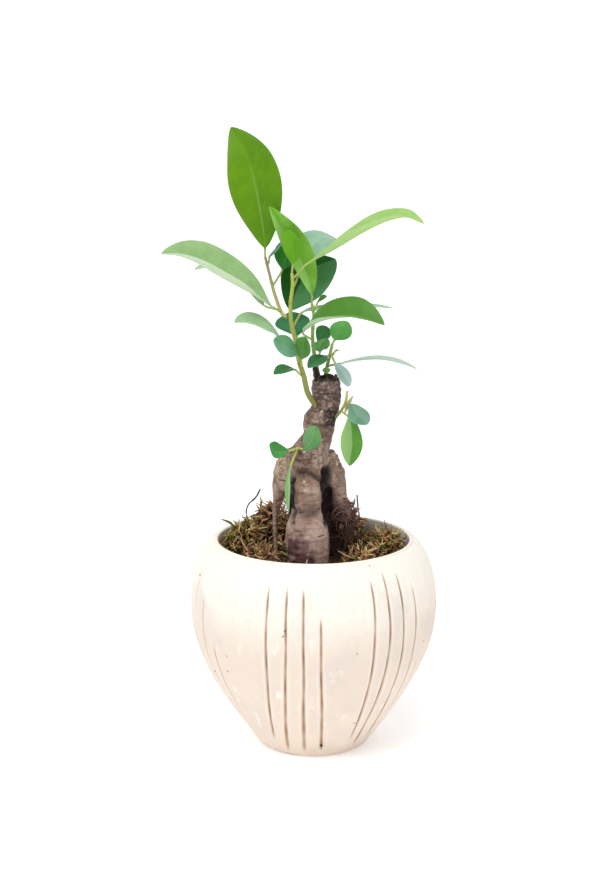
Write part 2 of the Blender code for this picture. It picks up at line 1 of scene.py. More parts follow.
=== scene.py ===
"""Looks for the bonsai in its pot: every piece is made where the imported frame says.

Sizes are in millimetres and become metres where a mesh is made. +Z is up and the
front faces -Y, as in the frame.
"""
import math

import bmesh
import bpy
import numpy as np
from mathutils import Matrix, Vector


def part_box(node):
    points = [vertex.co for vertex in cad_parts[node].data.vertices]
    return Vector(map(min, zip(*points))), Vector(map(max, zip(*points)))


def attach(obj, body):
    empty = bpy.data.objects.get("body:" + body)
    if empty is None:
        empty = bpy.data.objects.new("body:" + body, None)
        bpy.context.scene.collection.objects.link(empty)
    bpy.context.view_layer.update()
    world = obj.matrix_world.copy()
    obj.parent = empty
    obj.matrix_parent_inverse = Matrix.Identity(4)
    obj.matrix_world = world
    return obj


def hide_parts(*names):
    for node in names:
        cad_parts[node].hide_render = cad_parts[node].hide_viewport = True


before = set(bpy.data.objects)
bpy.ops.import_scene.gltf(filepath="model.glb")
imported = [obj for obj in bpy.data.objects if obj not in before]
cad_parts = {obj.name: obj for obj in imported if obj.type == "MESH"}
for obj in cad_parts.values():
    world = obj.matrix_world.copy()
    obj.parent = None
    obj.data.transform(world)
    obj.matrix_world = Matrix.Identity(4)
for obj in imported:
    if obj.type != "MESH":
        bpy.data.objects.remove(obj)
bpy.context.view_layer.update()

MM = 0.001

# ---- Camera, floor and light -------------------------------------------------
# A long lens a little above the plant looks at the trunk. The floor is a plain white
# sheet that curves up behind, lit by three large soft panels and a white sky.

EYE = Vector((-0.0085, -0.80, 0.319))
AIM = Vector((-0.0085, 0.0, 0.1494))
LENS = 68.84
FLOOR_HALF = 2.4
SWEEP_START = 1.1
SWEEP_RADIUS = 0.7

lens = bpy.data.cameras.new("camera")
lens.lens = LENS
lens.sensor_width = 36.0
lens.clip_start = 0.01
camera = bpy.data.objects.new("camera", lens)
camera.location = EYE
camera.rotation_euler = (AIM - EYE).to_track_quat("-Z", "Y").to_euler()
bpy.context.scene.collection.objects.link(camera)
bpy.context.scene.camera = camera
bpy.context.scene.view_settings.view_transform = "Standard"


def srgb(red, green, blue):
    """A colour given by its display levels, 0 to 255, as the linear colour that a socket takes."""
    levels = [level / 255 for level in (red, green, blue)]
    linear = [v / 12.92 if v <= 0.04045 else ((v + 0.055) / 1.055) ** 2.4 for v in levels]
    return (*linear, 1.0)


class Paint:
    """One output of a finish's nodes. Arithmetic on it adds the Math node that does it."""

    def __init__(self, output):
        self.output = output
        self.tree = output.id_data

    def node(self, kind, sockets=None, output=0, stops=None, **settings):
        """Adds a node: its settings, a ramp's stops, then the values or links of its sockets."""
        made = self.tree.nodes.new("ShaderNode" + kind)
        for name, value in settings.items():
            setattr(made, name, value)
        for i, (place, colour) in enumerate(stops or ()):
            row = made.color_ramp.elements
            stop = row[i] if i < 2 else row.new(place)
            stop.position, stop.color = place, colour
        for key, value in (sockets or {}).items():
            if isinstance(value, Paint):
                self.tree.links.new(value.output, made.inputs[key])
            else:
                made.inputs[key].default_value = value
        return Paint(made.outputs[output])

    def math(self, operation, *others):
        """This and the others through one Math node."""
        return self.node("Math", dict(enumerate((self, *others))), operation=operation)

    def __add__(self, other):
        return self.math("ADD", other)

    def __sub__(self, other):
        return self.math("SUBTRACT", other)

    def __mul__(self, other):
        return self.math("MULTIPLY", other)

    def __rsub__(self, other):
        return self.node("Math", {0: other, 1: self}, operation="SUBTRACT")

    __radd__, __rmul__ = __add__, __mul__

    def rise(self, low, high):
        """0 below low, 1 above high, and smooth between. High may be the lower of the two."""
        return self.node("MapRange", {0: self, 1: low, 2: high}, interpolation_type="SMOOTHSTEP")

    def blend(self, first, second):
        """The first colour where this is 0 and the second where it is 1."""
        return self.node("Mix", {0: self, 6: first, 7: second}, output=2, data_type="RGBA")

    def noise(self, scale, detail=3.0, roughness=0.55):
        """Soft cloudy noise about 0.5, read at this vector; scale is in turns per metre."""
        return self.node("TexNoise", {"Vector": self, "Scale": scale, "Detail": detail,
                                      "Roughness": roughness})

    def cells(self, scale, output="Distance"):
        """Distance to the nearest of many scattered points, or that point's own random Color."""
        return self.node("TexVoronoi", {"Vector": self, "Scale": scale}, output=output)

    def stretched(self, right, back, up):
        """This vector with its parts multiplied."""
        return self.node("Mapping", {"Vector": self, "Scale": (right, back, up)})

    def part(self, axis):
        return self.node("SeparateXYZ", {0: self}, output=axis)


def new_finish(name, constants):
    """A finish whose shader has these constants, and its Object coordinates."""
    finish = bpy.data.materials.new(name)
    finish.use_nodes = True
    shader = finish.node_tree.nodes["Principled BSDF"]
    for socket, value in constants.items():
        shader.inputs[socket].default_value = value
    coordinates = finish.node_tree.nodes.new("ShaderNodeTexCoord")
    return finish, Paint(coordinates.outputs["Object"])


def spread(place, name):
    """A value that the mesh carries at its points, such as how far along a strand it is."""
    return place.node("Attribute", output=2, attribute_name=name)


def feed(finish, colour, roughness, height=None, depth=0.3):
    """Joins colour, roughness and a height in units of depth millimetres to the shader."""
    shader = finish.node_tree.nodes["Principled BSDF"]
    finish.node_tree.links.new(colour.output, shader.inputs["Base Color"])
    finish.node_tree.links.new(roughness.output, shader.inputs["Roughness"])
    if height is not None:
        bump = height.node("Bump", {"Height": height, "Distance": depth * MM, "Strength": 1.0})
        finish.node_tree.links.new(bump.output, shader.inputs["Normal"])


def carry(mesh, values):
    """Lets a mesh's points carry numbers that its finish reads, by name."""
    for key, value in values.items():
        row = np.asarray(value, np.float32).reshape(-1)
        mesh.attributes.new(key, "FLOAT", "POINT").data.foreach_set("value", row)


def new_piece(name, points, faces, finish, values, smooth=True):
    """An object of points in millimetres and faces. Values are numbers for its points, by name."""
    mesh = bpy.data.meshes.new(name)
    mesh.from_pydata((points * MM).tolist(), [], faces)
    if smooth:
        mesh.shade_smooth()
    carry(mesh, values)
    mesh.materials.append(finish)
    piece = bpy.data.objects.new(name, mesh)
    bpy.context.scene.collection.objects.link(piece)
    return piece


def grid_piece(name, points, finish, around=True, poles=False, values=None):
    """A smooth piece of rows by columns of points, in millimetres.

    Columns join round, and the two end rows close with one face, or with a fan to the
    row's middle where poles is true. Values are numbers for the points, by name.
    """
    rows, columns = points.shape[:2]
    flat = points.reshape(-1, 3)
    values = {key: np.asarray(value, float).reshape(-1) for key, value in (values or {}).items()}
    index = np.arange(rows * columns).reshape(rows, columns)
    side = np.roll(index, -1, axis=1) if around else index[:, 1:]
    here = index if around else index[:, :-1]
    faces = np.stack([here[:-1], side[:-1], side[1:], here[1:]], axis=-1).reshape(-1, 4).tolist()
    if poles:
        hubs = np.full((2, columns), [[len(flat)], [len(flat) + 1]])
        flat = np.vstack([flat, points[0].mean(0), points[-1].mean(0)])
        values = {key: np.append(row, [row[0], row[-1]]) for key, row in values.items()}
        faces += np.stack([side[0], index[0], hubs[0]], axis=1).tolist()
        faces += np.stack([index[-1], side[-1], hubs[1]], axis=1).tolist()
    elif around:
        faces += [index[0][::-1].tolist(), index[-1].tolist()]
    return new_piece(name, flat, faces, finish, values)


white, place = new_finish("white sheet", {"Specular IOR Level": 0.1, "Emission Strength": 0.24,
                                          "Emission Color": (1.0, 1.0, 1.0, 1.0)})
paper = place.noise(6.0)
feed(white, paper.blend(srgb(250, 251, 253), srgb(255, 255, 255)), 0.9 + 0.05 * paper)

# The sheet's profile: flat, then a quarter circle, then straight up
turn = np.radians(np.linspace(0, 90, 24))
flat_y = np.array([-FLOOR_HALF, 0.0, SWEEP_START])
curve_y = SWEEP_START + SWEEP_RADIUS * np.sin(turn)
curve_z = SWEEP_RADIUS * (1 - np.cos(turn))
run_y = np.concatenate([flat_y, curve_y[1:], curve_y[-1:]])
run_z = np.concatenate([np.zeros(3), curve_z[1:], [FLOOR_HALF]])
sheet = np.array([[(x, y, z) for x in (FLOOR_HALF, -FLOOR_HALF)] for y, z in zip(run_y, run_z)])
floor = grid_piece("floor", sheet / MM, white, around=False)

LIT_AT = Vector((0, 0, 0.12))
LIGHTS = (
    # name, place, size, watts
    ("key", (-0.8, -1.0, 1.6), 0.9, 14.0),
    ("fill", (1.3, -1.0, 0.9), 1.4, 3.0),
    ("top", (0.0, -0.7, 1.9), 0.9, 9.0),
)
for name, spot, size, watts in LIGHTS:
    lamp = bpy.data.lights.new(name, "AREA")
    lamp.size = size
    lamp.energy = watts
    shade = bpy.data.objects.new(name, lamp)
    shade.location = spot
    shade.rotation_euler = (LIT_AT - shade.location).to_track_quat("-Z", "Y").to_euler()
    bpy.context.scene.collection.objects.link(shade)
sky = bpy.data.worlds.new("white sky")
sky.use_nodes = True
sky.node_tree.nodes["Background"].inputs["Color"].default_value = (0.97, 0.985, 1.0, 1.0)
sky.node_tree.nodes["Background"].inputs["Strength"].default_value = 0.55
bpy.context.scene.world = sky

# ---- Pot ---------------------------------------------------------------------
# A thrown pot of pale unglazed clay with a rolled lip. Its upright grooves were pressed
# into the wet wall in groups, and their edges stand up a little.

POT_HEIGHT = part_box("pot")[1].z / MM
BELLY_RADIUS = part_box("pot")[1].x / MM
BELLY_HEIGHT = 71.0
FOOT_RADIUS = 26.5
MOUTH_RADIUS = 46.5
WALL = 7.0
INNER_FLOOR = 9.0
LIP_ROUND = 0.8
LIP_DEPTH = 8.0
UNDER_LIP = 85.0
SHOULDER_POWER = 1.15
GROOVE_DEPTH = 0.95
GROOVE_HALF = 0.62
# The raised edges: how far from the groove's middle, half width, height
EDGE_OUT, EDGE_HALF, EDGE_HEIGHT = 1.35, 0.5, 0.16
# A groove wavers by this angle in degrees, and its drift grows to the foot with this power
WAVER = 0.16
DRIFT_POWER = 2.4
# Columns crowd at these degrees from a groove's middle, and stand this far apart elsewhere
CROWDED = np.array([-1.6, -1.15, -0.8, -0.5, -0.25, 0, 0.25, 0.5, 0.8, 1.15, 1.6])
COLUMN_STEP = 1.9
# A dark pit low in the front wall: how far right and up, in metres
PIT_RIGHT, PIT_UP = 0.0037, 0.0078
# Angle from the front toward +X in degrees, top and bottom above the foot, and how far the
# groove has drifted sideways at the foot, in degrees
GROOVES = (
    (-80, 93, 22, 0), (-71, 94, 14, 2), (-62, 82, 10, 0), (-54, 60, 16, -5),
    (-22, 95, 9, -18), (-13, 96, 3, -14), (-5, 94, 3, -4), (3, 81, 3, 5),
    (28, 96, 9, 5), (36, 99, 4, 5), (44.5, 97, 5, 12), (53.5, 90, 20, 12), (61, 50, 34, 10),
    (66, 50, 33, 8), (80, 98, 12, 4), (89, 97, 5, -2), (97, 94, 7, -6), (106, 96, 15, -4),
    (131, 92, 14, -6), (140, 97, 6, -2), (149, 95, 4, 3), (158, 88, 10, 8),
    (183, 95, 8, -4), (192, 94, 3, -6), (200, 98, 6, 0), (209, 91, 17, 6),
    (233, 90, 12, 2), (242, 96, 5, -3), (251, 94, 9, -5), (259, 87, 19, 0),
)


def pot_outer(height):
    """A sine from foot to belly, then a quarter ellipse from the belly in to the lip."""
    low = FOOT_RADIUS + (BELLY_RADIUS - FOOT_RADIUS) * np.sin(np.pi / 2 * height / BELLY_HEIGHT)
    rise = np.clip((height - BELLY_HEIGHT) / (POT_HEIGHT - BELLY_HEIGHT), 0, 1)
    lip = MOUTH_RADIUS + LIP_ROUND
    high = lip + (BELLY_RADIUS - lip) * np.sqrt(1 - rise * rise) ** SHOULDER_POWER
    return np.where(height <= BELLY_HEIGHT, low, high)


def pot_inner(height):
    """The outside less the wall, drawn in to the lip by a sine over the last few millimetres."""
    below = POT_HEIGHT - LIP_DEPTH
    start = pot_outer(below) - WALL
    share = np.clip((height - below) / LIP_DEPTH, 0, 1)
    return np.where(height <= below, pot_outer(np.minimum(height, below)) - WALL,
                    start + (MOUTH_RADIUS - start) * np.sin(np.pi / 2 * share))


def smooth_step(value, low, high):
    """0 below low, 1 above high, 3t^2 - 2t^3 between."""
    t = np.clip((value - low) / (high - low), 0, 1)
    return t * t * (3 - 2 * t)


# Large odd numbers that scatter neighbouring cubes and neighbouring seeds
SCRAMBLE = (73856093, 19349663, 83492791)
SEED_STEP = 2654435761


def cloud(points, size, seed):
    """Value noise in -1..1: random numbers at the corners of cubes of this size, blended smoothly."""
    scaled = points / size + 100.0
    cell = np.floor(scaled).astype(np.int64)
    part = scaled - cell
    part = part * part * (3 - 2 * part)
    total = np.zeros(points.shape[:-1])
    for corner in range(8):
        step = np.array([corner & 1, corner >> 1 & 1, corner >> 2])
        at = cell + step
        mixed = np.bitwise_xor.reduce(at * SCRAMBLE, axis=-1) ^ seed * SEED_STEP
        mixed = (mixed ^ mixed >> 13) * 1274126177 & 0xFFFFFFFF
        mixed = (mixed ^ mixed >> 16) * 2246822519 & 0xFFFFFFFF
        weight = np.prod(np.where(step, part, 1 - part), axis=-1)
        total += weight * ((mixed >> 8 & 0xFFFF) / 32767.5 - 1)
    return total


def pot_columns():
    """Angles that crowd at each groove, with the groove that each one follows and how closely."""
    angles, owner, hold = [], [], []
    order = sorted(range(len(GROOVES)), key=lambda i: GROOVES[i][0] % 360)
    middles = [GROOVES[i][0] % 360 for i in order]
    for k, groove in enumerate(order):
        after = middles[(k + 1) % len(middles)] + (360 if k == len(middles) - 1 else 0)
        angles += list(middles[k] + CROWDED)
        owner += [groove] * len(CROWDED)
        hold += [1.0] * len(CROWDED)
        start = middles[k] + CROWDED[-1]
        room = after + CROWDED[0] - start
        count = max(1, round(room / COLUMN_STEP))
        for i in range(1, count):
            share = i / count
            angles.append(start + room * share)
            owner.append(groove if share < 0.5 else order[(k + 1) % len(order)])
            hold.append(abs(1 - 2 * share))
    return np.radians(angles), np.array(owner), np.array(hold)


def make_pot():
    """A profile turned about Z: inside up to the lip, then outside down, with grooves pressed in."""
    angle, owner, hold = pot_columns()
    inside = np.concatenate([np.linspace(INNER_FLOOR + 3, UNDER_LIP - 1, 14),
                             np.linspace(UNDER_LIP + 1, POT_HEIGHT - 1, 14)])
    lip_turn = np.radians(np.linspace(0, 180, 11))
    shoulder = np.radians(np.linspace(80, 3, 34))
    outside = np.concatenate([BELLY_HEIGHT + (POT_HEIGHT - BELLY_HEIGHT) * np.sin(shoulder),
                              np.linspace(BELLY_HEIGHT, 1.2, 62)])
    radius = np.concatenate([[2.0, pot_inner(12.0) - 3], pot_inner(inside),
                             MOUTH_RADIUS + LIP_ROUND * (1 - np.cos(lip_turn)), pot_outer(outside),
                             [FOOT_RADIUS - 0.1, FOOT_RADIUS - 1.2, 2.0]])
    height = np.concatenate([[INNER_FLOOR, INNER_FLOOR], inside,
                             POT_HEIGHT - LIP_ROUND * (1 - np.sin(lip_turn)), outside,
                             [0.5, 0.0, 0.0]])
    is_outside = np.zeros(len(radius))
    is_outside[-len(outside) - 3:-3] = 1
    tops, bottoms = (np.array([g[k] for g in GROOVES], float)[owner] for k in (1, 2))
    middle = np.radians([g[0] % 360 for g in GROOVES])[owner]
    down = height[:, None]
    waver = np.radians(WAVER) * (np.sin(down / 14.0 + owner * 1.7) + 0.5 * np.sin(down / 5.3 + owner * 2.9))
    drift = [(g[0] % 360, math.radians(g[3])) for g in sorted(GROOVES, key=lambda g: g[0] % 360)]
    drift = np.interp(np.degrees(angle), *zip(*drift), period=360)
    drift = drift * (1 - np.clip(down / BELLY_HEIGHT, 0, 1)) ** DRIFT_POWER
    turned = angle + (waver * hold + drift) * is_outside[:, None]
    away = (angle - middle + np.pi) % (2 * np.pi) - np.pi
    away = np.where(hold == 1, away, 1.0) * radius[:, None]
    length = smooth_step(down, bottoms - 1, bottoms + 7) * (1 - smooth_step(down, tops - 9, tops + 2))
    length = length ** 0.6
    uneven = 0.85 + 0.2 * np.sin(down / 3.1 + owner * 4.3) * np.sin(down / 7.7 + owner)
    press = length * uneven * is_outside[:, None]
    groove = np.exp(-(away / GROOVE_HALF) ** 2) * press
    edge = np.exp(-((np.abs(away) - EDGE_OUT) / EDGE_HALF) ** 2) * press
    x, y = np.sin(turned), -np.cos(turned)
    wall = np.stack([x * radius[:, None], y * radius[:, None], down + 0 * turned], axis=-1)
    # The thrower's hand leaves slow and quick unevenness, none of it at the foot's edge
    hand = 0.28 * cloud(wall, 34.0, 5) + 0.09 * cloud(wall, 9.0, 6)
    keep = smooth_step(down, 0, 8)
    shift = hand * keep - GROOVE_DEPTH * groove + EDGE_HEIGHT * edge
    wall[..., 0] += x * shift
    wall[..., 1] += y * shift
    inner_side = np.arange(len(radius)) < len(inside) + 2
    values = {"pressed": groove, "ridge": edge,
              "inside": np.repeat(inner_side[:, None].astype(float), len(angle), 1)}
    return grid_piece("clay_pot", wall, clay, poles=True, values=values)


def coated(colour, *coats):
    """Lays coats over a colour. Each is a mask and the display levels of what it brings."""
    for mask, levels in coats:
        colour = mask.blend(colour, srgb(*levels))
    return colour


clay, place = new_finish("pale clay", {"Specular IOR Level": 0.25})
groove, ridge, inner = (spread(place, name) for name in ("pressed", "ridge", "inside"))
up = place.part(2)
mottle = place.noise(55.0, 5.0)
grain = place.noise(900.0, 4.0, 0.7)
streaks = place.stretched(1, 1, 0.12).noise(420.0, 3.0)
scuffs = place.stretched(1, 1, 0.35).noise(130.0, 4.0).rise(0.6, 0.72)
speck = place.cells(150.0).rise(0.11, 0.05) * place.cells(150.0, "Color").part(0).rise(0.8, 0.84)
across, above = place.part(0) - PIT_RIGHT, (up - PIT_UP) * 0.55
pit = (across * across + above * above).rise(6e-7, 2e-7) * place.part(1).rise(0.0, -0.01)
pores = place.cells(420.0).rise(0.22, 0.05)
body = coated(
    up.rise(0.096, 0.055).blend(srgb(252, 244, 232), srgb(233, 217, 202)),
    (mottle.rise(0.42, 0.72) * 0.5 * up.rise(0.1, 0.08), (219, 208, 200)),
    (scuffs * 0.5, (255, 250, 241)),
    (streaks.rise(0.55, 0.8) * 0.25, (226, 202, 180)),
    # the inside, painted near white down to the soil as painted light against the shade in the pot, its
    # stains near the lip, and damp marks at the foot
    (inner, (254, 249, 240)),
    (inner * up.rise(0.1, 0.09) * mottle.rise(0.45, 0.7) * 0.6, (188, 156, 122)),
    (up.rise(0.012, 0.0) * mottle.rise(0.35, 0.6) * 0.5, (214, 190, 168)),
    # the grooves, darker at the bottom, and their worn edges
    (groove.rise(0.12, 0.75) * (0.62 + 0.5 * mottle), (176, 142, 114)),
    (groove.rise(0.72, 0.98) * 0.55, (132, 98, 76)),
    (ridge.rise(0.3, 0.9) * 0.35, (252, 243, 230)),
    (speck * 0.75, (120, 98, 78)),
    (pit, (58, 42, 38)),
)
relief = grain * 0.25 + streaks * 0.3 - speck * 0.9 - pores * 0.35 + mottle * 0.4
feed(clay, body, 0.72 + 0.2 * mottle - 0.08 * ridge, relief, depth=0.35)
pot = make_pot()
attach(pot, "root")
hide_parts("pot")

# ---- Soil --------------------------------------------------------------------
# Dark potting soil fills the pot to just under its lip. Its top is uneven, and crumbs
# of bark and peat lie on it.

SOIL_LOW, SOIL_UP = (corner.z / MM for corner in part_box("soil"))
SOIL_GAP = 0.4
CRUMBS = 900


def make_soil():
    """A turned body whose top is a cloud of bumps that dies out at the wall."""
    angle = np.linspace(0, 2 * np.pi, 180, endpoint=False)
    side = np.linspace(SOIL_LOW + 3, SOIL_UP - 0.6, 14)
    rim = pot_inner(SOIL_UP) - SOIL_GAP
    inward = np.linspace(rim, 0.8, 62)
    radius = np.concatenate([[0.8, pot_inner(side[0]) - 3.5], pot_inner(side) - SOIL_GAP, inward])
    height = np.concatenate([[SOIL_LOW, SOIL_LOW], side, np.full(len(inward), SOIL_UP)])
    body = np.stack([np.sin(angle) * radius[:, None], -np.cos(angle) * radius[:, None],
                     height[:, None] + 0 * angle], axis=-1)
    bumps = 1.2 * cloud(body, 6.0, 11) + 0.7 * cloud(body, 2.2, 12) + 0.35 * cloud(body, 1.1, 13)
    top = (np.arange(len(radius)) >= len(side) + 2)[:, None]
    body[..., 2] += top * (bumps - 0.5) * smooth_step(rim - radius[:, None], 0, 3)
    return grid_piece("soil_bed", body[:, ::-1], earth, poles=True)


def make_crumbs(random):
    """Lumps of eight faces: squashed octahedra, each with its own size and turn."""
    corners = np.concatenate([np.eye(3), -np.eye(3)])[[0, 3, 1, 4, 2, 5]]
    sides = np.array([(0, 2, 4), (2, 1, 4), (1, 3, 4), (3, 0, 4),
                      (2, 0, 5), (1, 2, 5), (3, 1, 5), (0, 3, 5)])
    size = random.uniform(0.35, 1.1, (CRUMBS, 1, 1)) * random.uniform(0.6, 1.3, (CRUMBS, 1, 3))
    spin = np.linalg.qr(random.normal(size=(CRUMBS, 3, 3)))[0]
    spin *= np.sign(np.linalg.det(spin))[:, None, None]
    away = (pot_inner(SOIL_UP) - 2.5) * np.sqrt(random.uniform(0.02, 1, CRUMBS))
    angle = random.uniform(0, 2 * np.pi, CRUMBS)
    middle = np.stack([away * np.sin(angle), -away * np.cos(angle),
                       SOIL_UP + random.uniform(-0.2, 0.9, CRUMBS)], axis=-1)
    points = np.einsum("nij,nkj->nki", spin, corners * size) + middle[:, None]
    faces = sides + 6 * np.arange(CRUMBS)[:, None, None]
    return points.reshape(-1, 3), faces.reshape(-1, 3).tolist(), np.repeat(random.uniform(0, 1, CRUMBS), 6)


earth, place = new_finish("potting soil", {"Specular IOR Level": 0.15})
damp = place.noise(180.0, 5.0, 0.7)
colour = damp.rise(0.35, 0.7).blend(srgb(44, 31, 25), srgb(98, 74, 55))
feed(earth, colour, 0.85 + 0.1 * damp, place.noise(1400.0, 5.0, 0.7), depth=0.6)
soil = make_soil()
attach(soil, "root")
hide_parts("soil")

crumb_look, place = new_finish("bark crumbs", {"Specular IOR Level": 0.15})
tone = spread(place, "tone")
rough = place.noise(900.0, 4.0)
colour = (tone * 0.8 + rough * 0.3).blend(srgb(38, 26, 22), srgb(140, 108, 78))
feed(crumb_look, colour, 0.8 + 0.15 * rough, rough, depth=0.3)
points, faces, tones = make_crumbs(np.random.default_rng(21))
crumbs = new_piece("soil_crumbs", points, faces, crumb_look, {"tone": tones}, smooth=False)
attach(crumbs, "root")

# ---- Trunk and swollen roots -------------------------------------------------
# One piece of living wood: a neck with rings where twigs were cut, and roots as fat as
# carrots below it. Its skin is the frame's own shape melted into two inner roots and
# wrinkled finely; the cut top is torn and dark.

TRUNK_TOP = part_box("trunk")[1].z / MM
NECK_UP = 44.0
RING_SPACING = 2.7
# Wood behind the gaps on both sides of the middle root, painted dark as the gaps' shade: (right, back, up,
# radius)
INNER_ROOTS = (
    ((5, 5, 47, 4), (6.5, 7, 38, 5), (7, 8, 27, 5.5), (7, 8, 14, 6.5), (7, 8, -5, 6)),
    ((-9, 2, 45, 2.5), (-9.5, 2, 37, 2.5), (-9.5, 2, 28, 2.6), (-9.5, 3, 15, 3), (-9.5, 3, -5, 3)),
)
# Lines in the front view (right, up), half width, depth: the arch over the middle root's
# upper swelling, its waist, and the gaps on both sides of it
CREASES = (
    (((-7.5, 47), (-3, 47.5), (0.5, 45.5), (3.8, 42), (5.4, 35)), 1.2, 1.7),
    (((-9.5, 44), (-6, 45.5), (-3, 46.5)), 2.0, 0.7),
    (((-12, 29.2), (-3, 28.4), (5, 29.2)), 1.8, 1.2),
    (((-10.9, 25), (-11.1, 34), (-10.7, 43)), 1.3, 3.6),
    (((6, 46.5), (6.3, 39), (6.4, 30)), 1.9, 4.0),
    (((-2, 52), (-8, 47), (-13, 40)), 1.2, 0.7),
    (((-6, 69.5), (2, 67.5), (11, 68)), 0.9, 0.8),
    (((-4, 60), (3, 58.5), (8, 60)), 1.0, 0.5),
)
# A crease this deep is painted black at its bottom as shade, and a shallower one less dark
BLACK_DEPTH = 2.2
# Hollows in the front view painted dark as shade: a line and its half width
HOLLOWS = ((((-10.8, 43), (-10.6, 30)), 1.5), (((6, 46), (6.2, 38), (6.6, 24)), 2.7))
# Middles in the front view, half sizes, height
SWELLINGS = (((-3.8, 39), (7.4, 8), 1.6), ((-3, 17), (10, 9), 0.5), ((-15.5, 39), (4, 7), 0.7))
# A purple stain in the front view: its middle and its radius
STAIN_AT, STAIN_RADIUS = (-8, 11), 8


def skinned_copy(node, name, voxel, turns, finish, more=None):
    """A CAD node's shape, and a mesh that melts into it, as one skin of cells of this size."""
    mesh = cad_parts[node].data.copy()
    mesh.name = name
    mesh.materials.clear()
    shell = bmesh.new()
    shell.from_mesh(mesh)
    bmesh.ops.remove_doubles(shell, verts=shell.verts, dist=1e-6)
    if more is not None:
        shell.from_mesh(more)
    shell.to_mesh(mesh)
    shell.free()
    piece = bpy.data.objects.new(name, mesh)
    bpy.context.scene.collection.objects.link(piece)
    melt = piece.modifiers.new("melt", "REMESH")
    melt.mode = "VOXEL"
    melt.voxel_size = voxel * MM
    ease = piece.modifiers.new("ease", "SMOOTH")
    ease.factor = 0.5
    ease.iterations = turns
    done = bpy.data.meshes.new_from_object(piece.evaluated_get(bpy.context.evaluated_depsgraph_get()))
    piece.modifiers.clear()
    piece.data = done
    done.name = name
    done.materials.clear()
    done.materials.append(finish)
    done.shade_smooth()
    return piece


def carried(paths, radii, sides):
    """Tubes: a circle of the given radius carried square to each path, with flat ends.

    Paths are (tubes, stops, 3) and radii (tubes, stops). A tube's circles start from
    the world axis that its path leans on least.
    """
    tubes, stops = radii.shape
    along = np.gradient(paths, axis=1)
    along /= np.linalg.norm(along, axis=2, keepdims=True) + 1e-12
    least = np.argmin(np.abs(paths[:, -1] - paths[:, 0]), axis=1)
    first = np.cross(along, np.eye(3)[least][:, None])
    first /= np.linalg.norm(first, axis=2, keepdims=True) + 1e-12
    second = np.cross(along, first)
    turn = np.linspace(0, 2 * np.pi, sides, endpoint=False)[:, None]
    ring = np.cos(turn) * first[:, :, None] + np.sin(turn) * second[:, :, None]
    points = paths[:, :, None] + ring * radii[:, :, None, None]
    index = np.arange(tubes * stops * sides).reshape(tubes, stops, sides)
    side = np.roll(index, -1, axis=2)
    quads = np.stack([index[:, :-1], side[:, :-1], side[:, 1:], index[:, 1:]], -1).reshape(-1, 4)
    faces = quads.tolist() + index[:, 0, ::-1].tolist() + index[:, -1].tolist()
    return points.reshape(-1, 3), faces


def read_points(mesh):
    """A mesh's points and outward normals, in millimetres."""
    points, normals = np.zeros((2, len(mesh.vertices), 3), np.float32)
    mesh.vertices.foreach_get("co", points.reshape(-1))
    mesh.vertices.foreach_get("normal", normals.reshape(-1))
    return points.astype(float) / MM, normals.astype(float)


def write_points(mesh, points, values):
    """Moves a mesh's points to these places in millimetres, and lets them carry values."""
    mesh.vertices.foreach_set("co", (points * MM).astype(np.float32).reshape(-1))
    carry(mesh, values)
    mesh.update()


def hollowness(mesh, points, normals, turns):
    """How far a point sinks below its surroundings: how much averaging with its neighbours lifts it."""
    edges = np.zeros(len(mesh.edges) * 2, np.int32)
    mesh.edges.foreach_get("vertices", edges)
    ends = np.concatenate([edges.reshape(-1, 2), edges.reshape(-1, 2)[:, ::-1]])
    count = np.bincount(ends[:, 0], minlength=len(points))[:, None]
    soft = points
    for _ in range(turns):
        total = np.stack([np.bincount(ends[:, 0], soft[ends[:, 1], k], len(points)) for k in range(3)], -1)
        soft = 0.5 * soft + 0.5 * total / count
    return np.sum((soft - points) * normals, axis=1)


def beside_line(places, line):
    """Distance of places in the front view to the nearest stretch of a line."""
    nearest = np.full(len(places), np.inf)
    for a, b in zip(np.array(line, float), np.array(line[1:], float)):
        way = b - a
        share = np.clip((places - a) @ way / (way @ way), 0, 1)
        nearest = np.minimum(nearest, np.linalg.norm(places - a - share[:, None] * way, axis=1))
    return nearest


def press_front(points, front, facing, seen):
    """Creases in and swellings out, each a bell curve of the distance, and the painted shade that the
    creases and hollows get.
    """
    shift, shade = np.zeros((2, len(points)))
    for line, half, depth in CREASES:
        press = np.exp(-(beside_line(front, line) / half) ** 2) * facing
        shift -= depth * press
        shade = np.maximum(shade, press * min(1, depth / BLACK_DEPTH))
    deep_in = seen * smooth_step(-points[:, 1], -12, -8)
    for line, half in HOLLOWS:
        edge = half + 0.5 * cloud(points, 1.8, 16) - beside_line(front, line)
        shade = np.maximum(shade, smooth_step(edge, -0.5, 0.9) * deep_in)
    for middle, half, rise in SWELLINGS:
        away = np.sum(((front - middle) / half) ** 2, axis=1)
        shift += rise * np.exp(-away) * facing
    return shift, shade


def shaded_wood(right, back, height, seen):
    """Painted shade: 1 on the wood behind the gaps beside the middle root, and under the cut root."""
    inside = smooth_step(back, -1, 3) * smooth_step(right, 1, 3) * smooth_step(-right, -11, -9)
    inside = inside * smooth_step(-height, -47, -41)
    beside = smooth_step(back, -3, 0) * smooth_step(right, -13, -12) * smooth_step(-right, 7, 8)
    beside = beside * smooth_step(-height, -44, -40)
    under = smooth_step(right, 6, 8) * smooth_step(-height, -19, -14)
    return np.maximum.reduce([inside, beside, under]) * seen


def stained_wood(points, front, facing):
    """A ragged stain low on the middle root, and the same tone on the cut root's frayed end."""
    right, height = front.T
    ragged = 0.7 * cloud(points, 4.0, 18) + 0.5 * cloud(points, 1.6, 19)
    stain = 1.1 + ragged - np.sum(((front - STAIN_AT) / STAIN_RADIUS) ** 2, axis=1)
    frayed = smooth_step((29 - height) / 5 + ragged, -0.2, 1.3) * smooth_step(right, 6, 8)
    return np.maximum(smooth_step(stain, 0.0, 0.8) * facing, frayed * smooth_step(height, 8, 12))


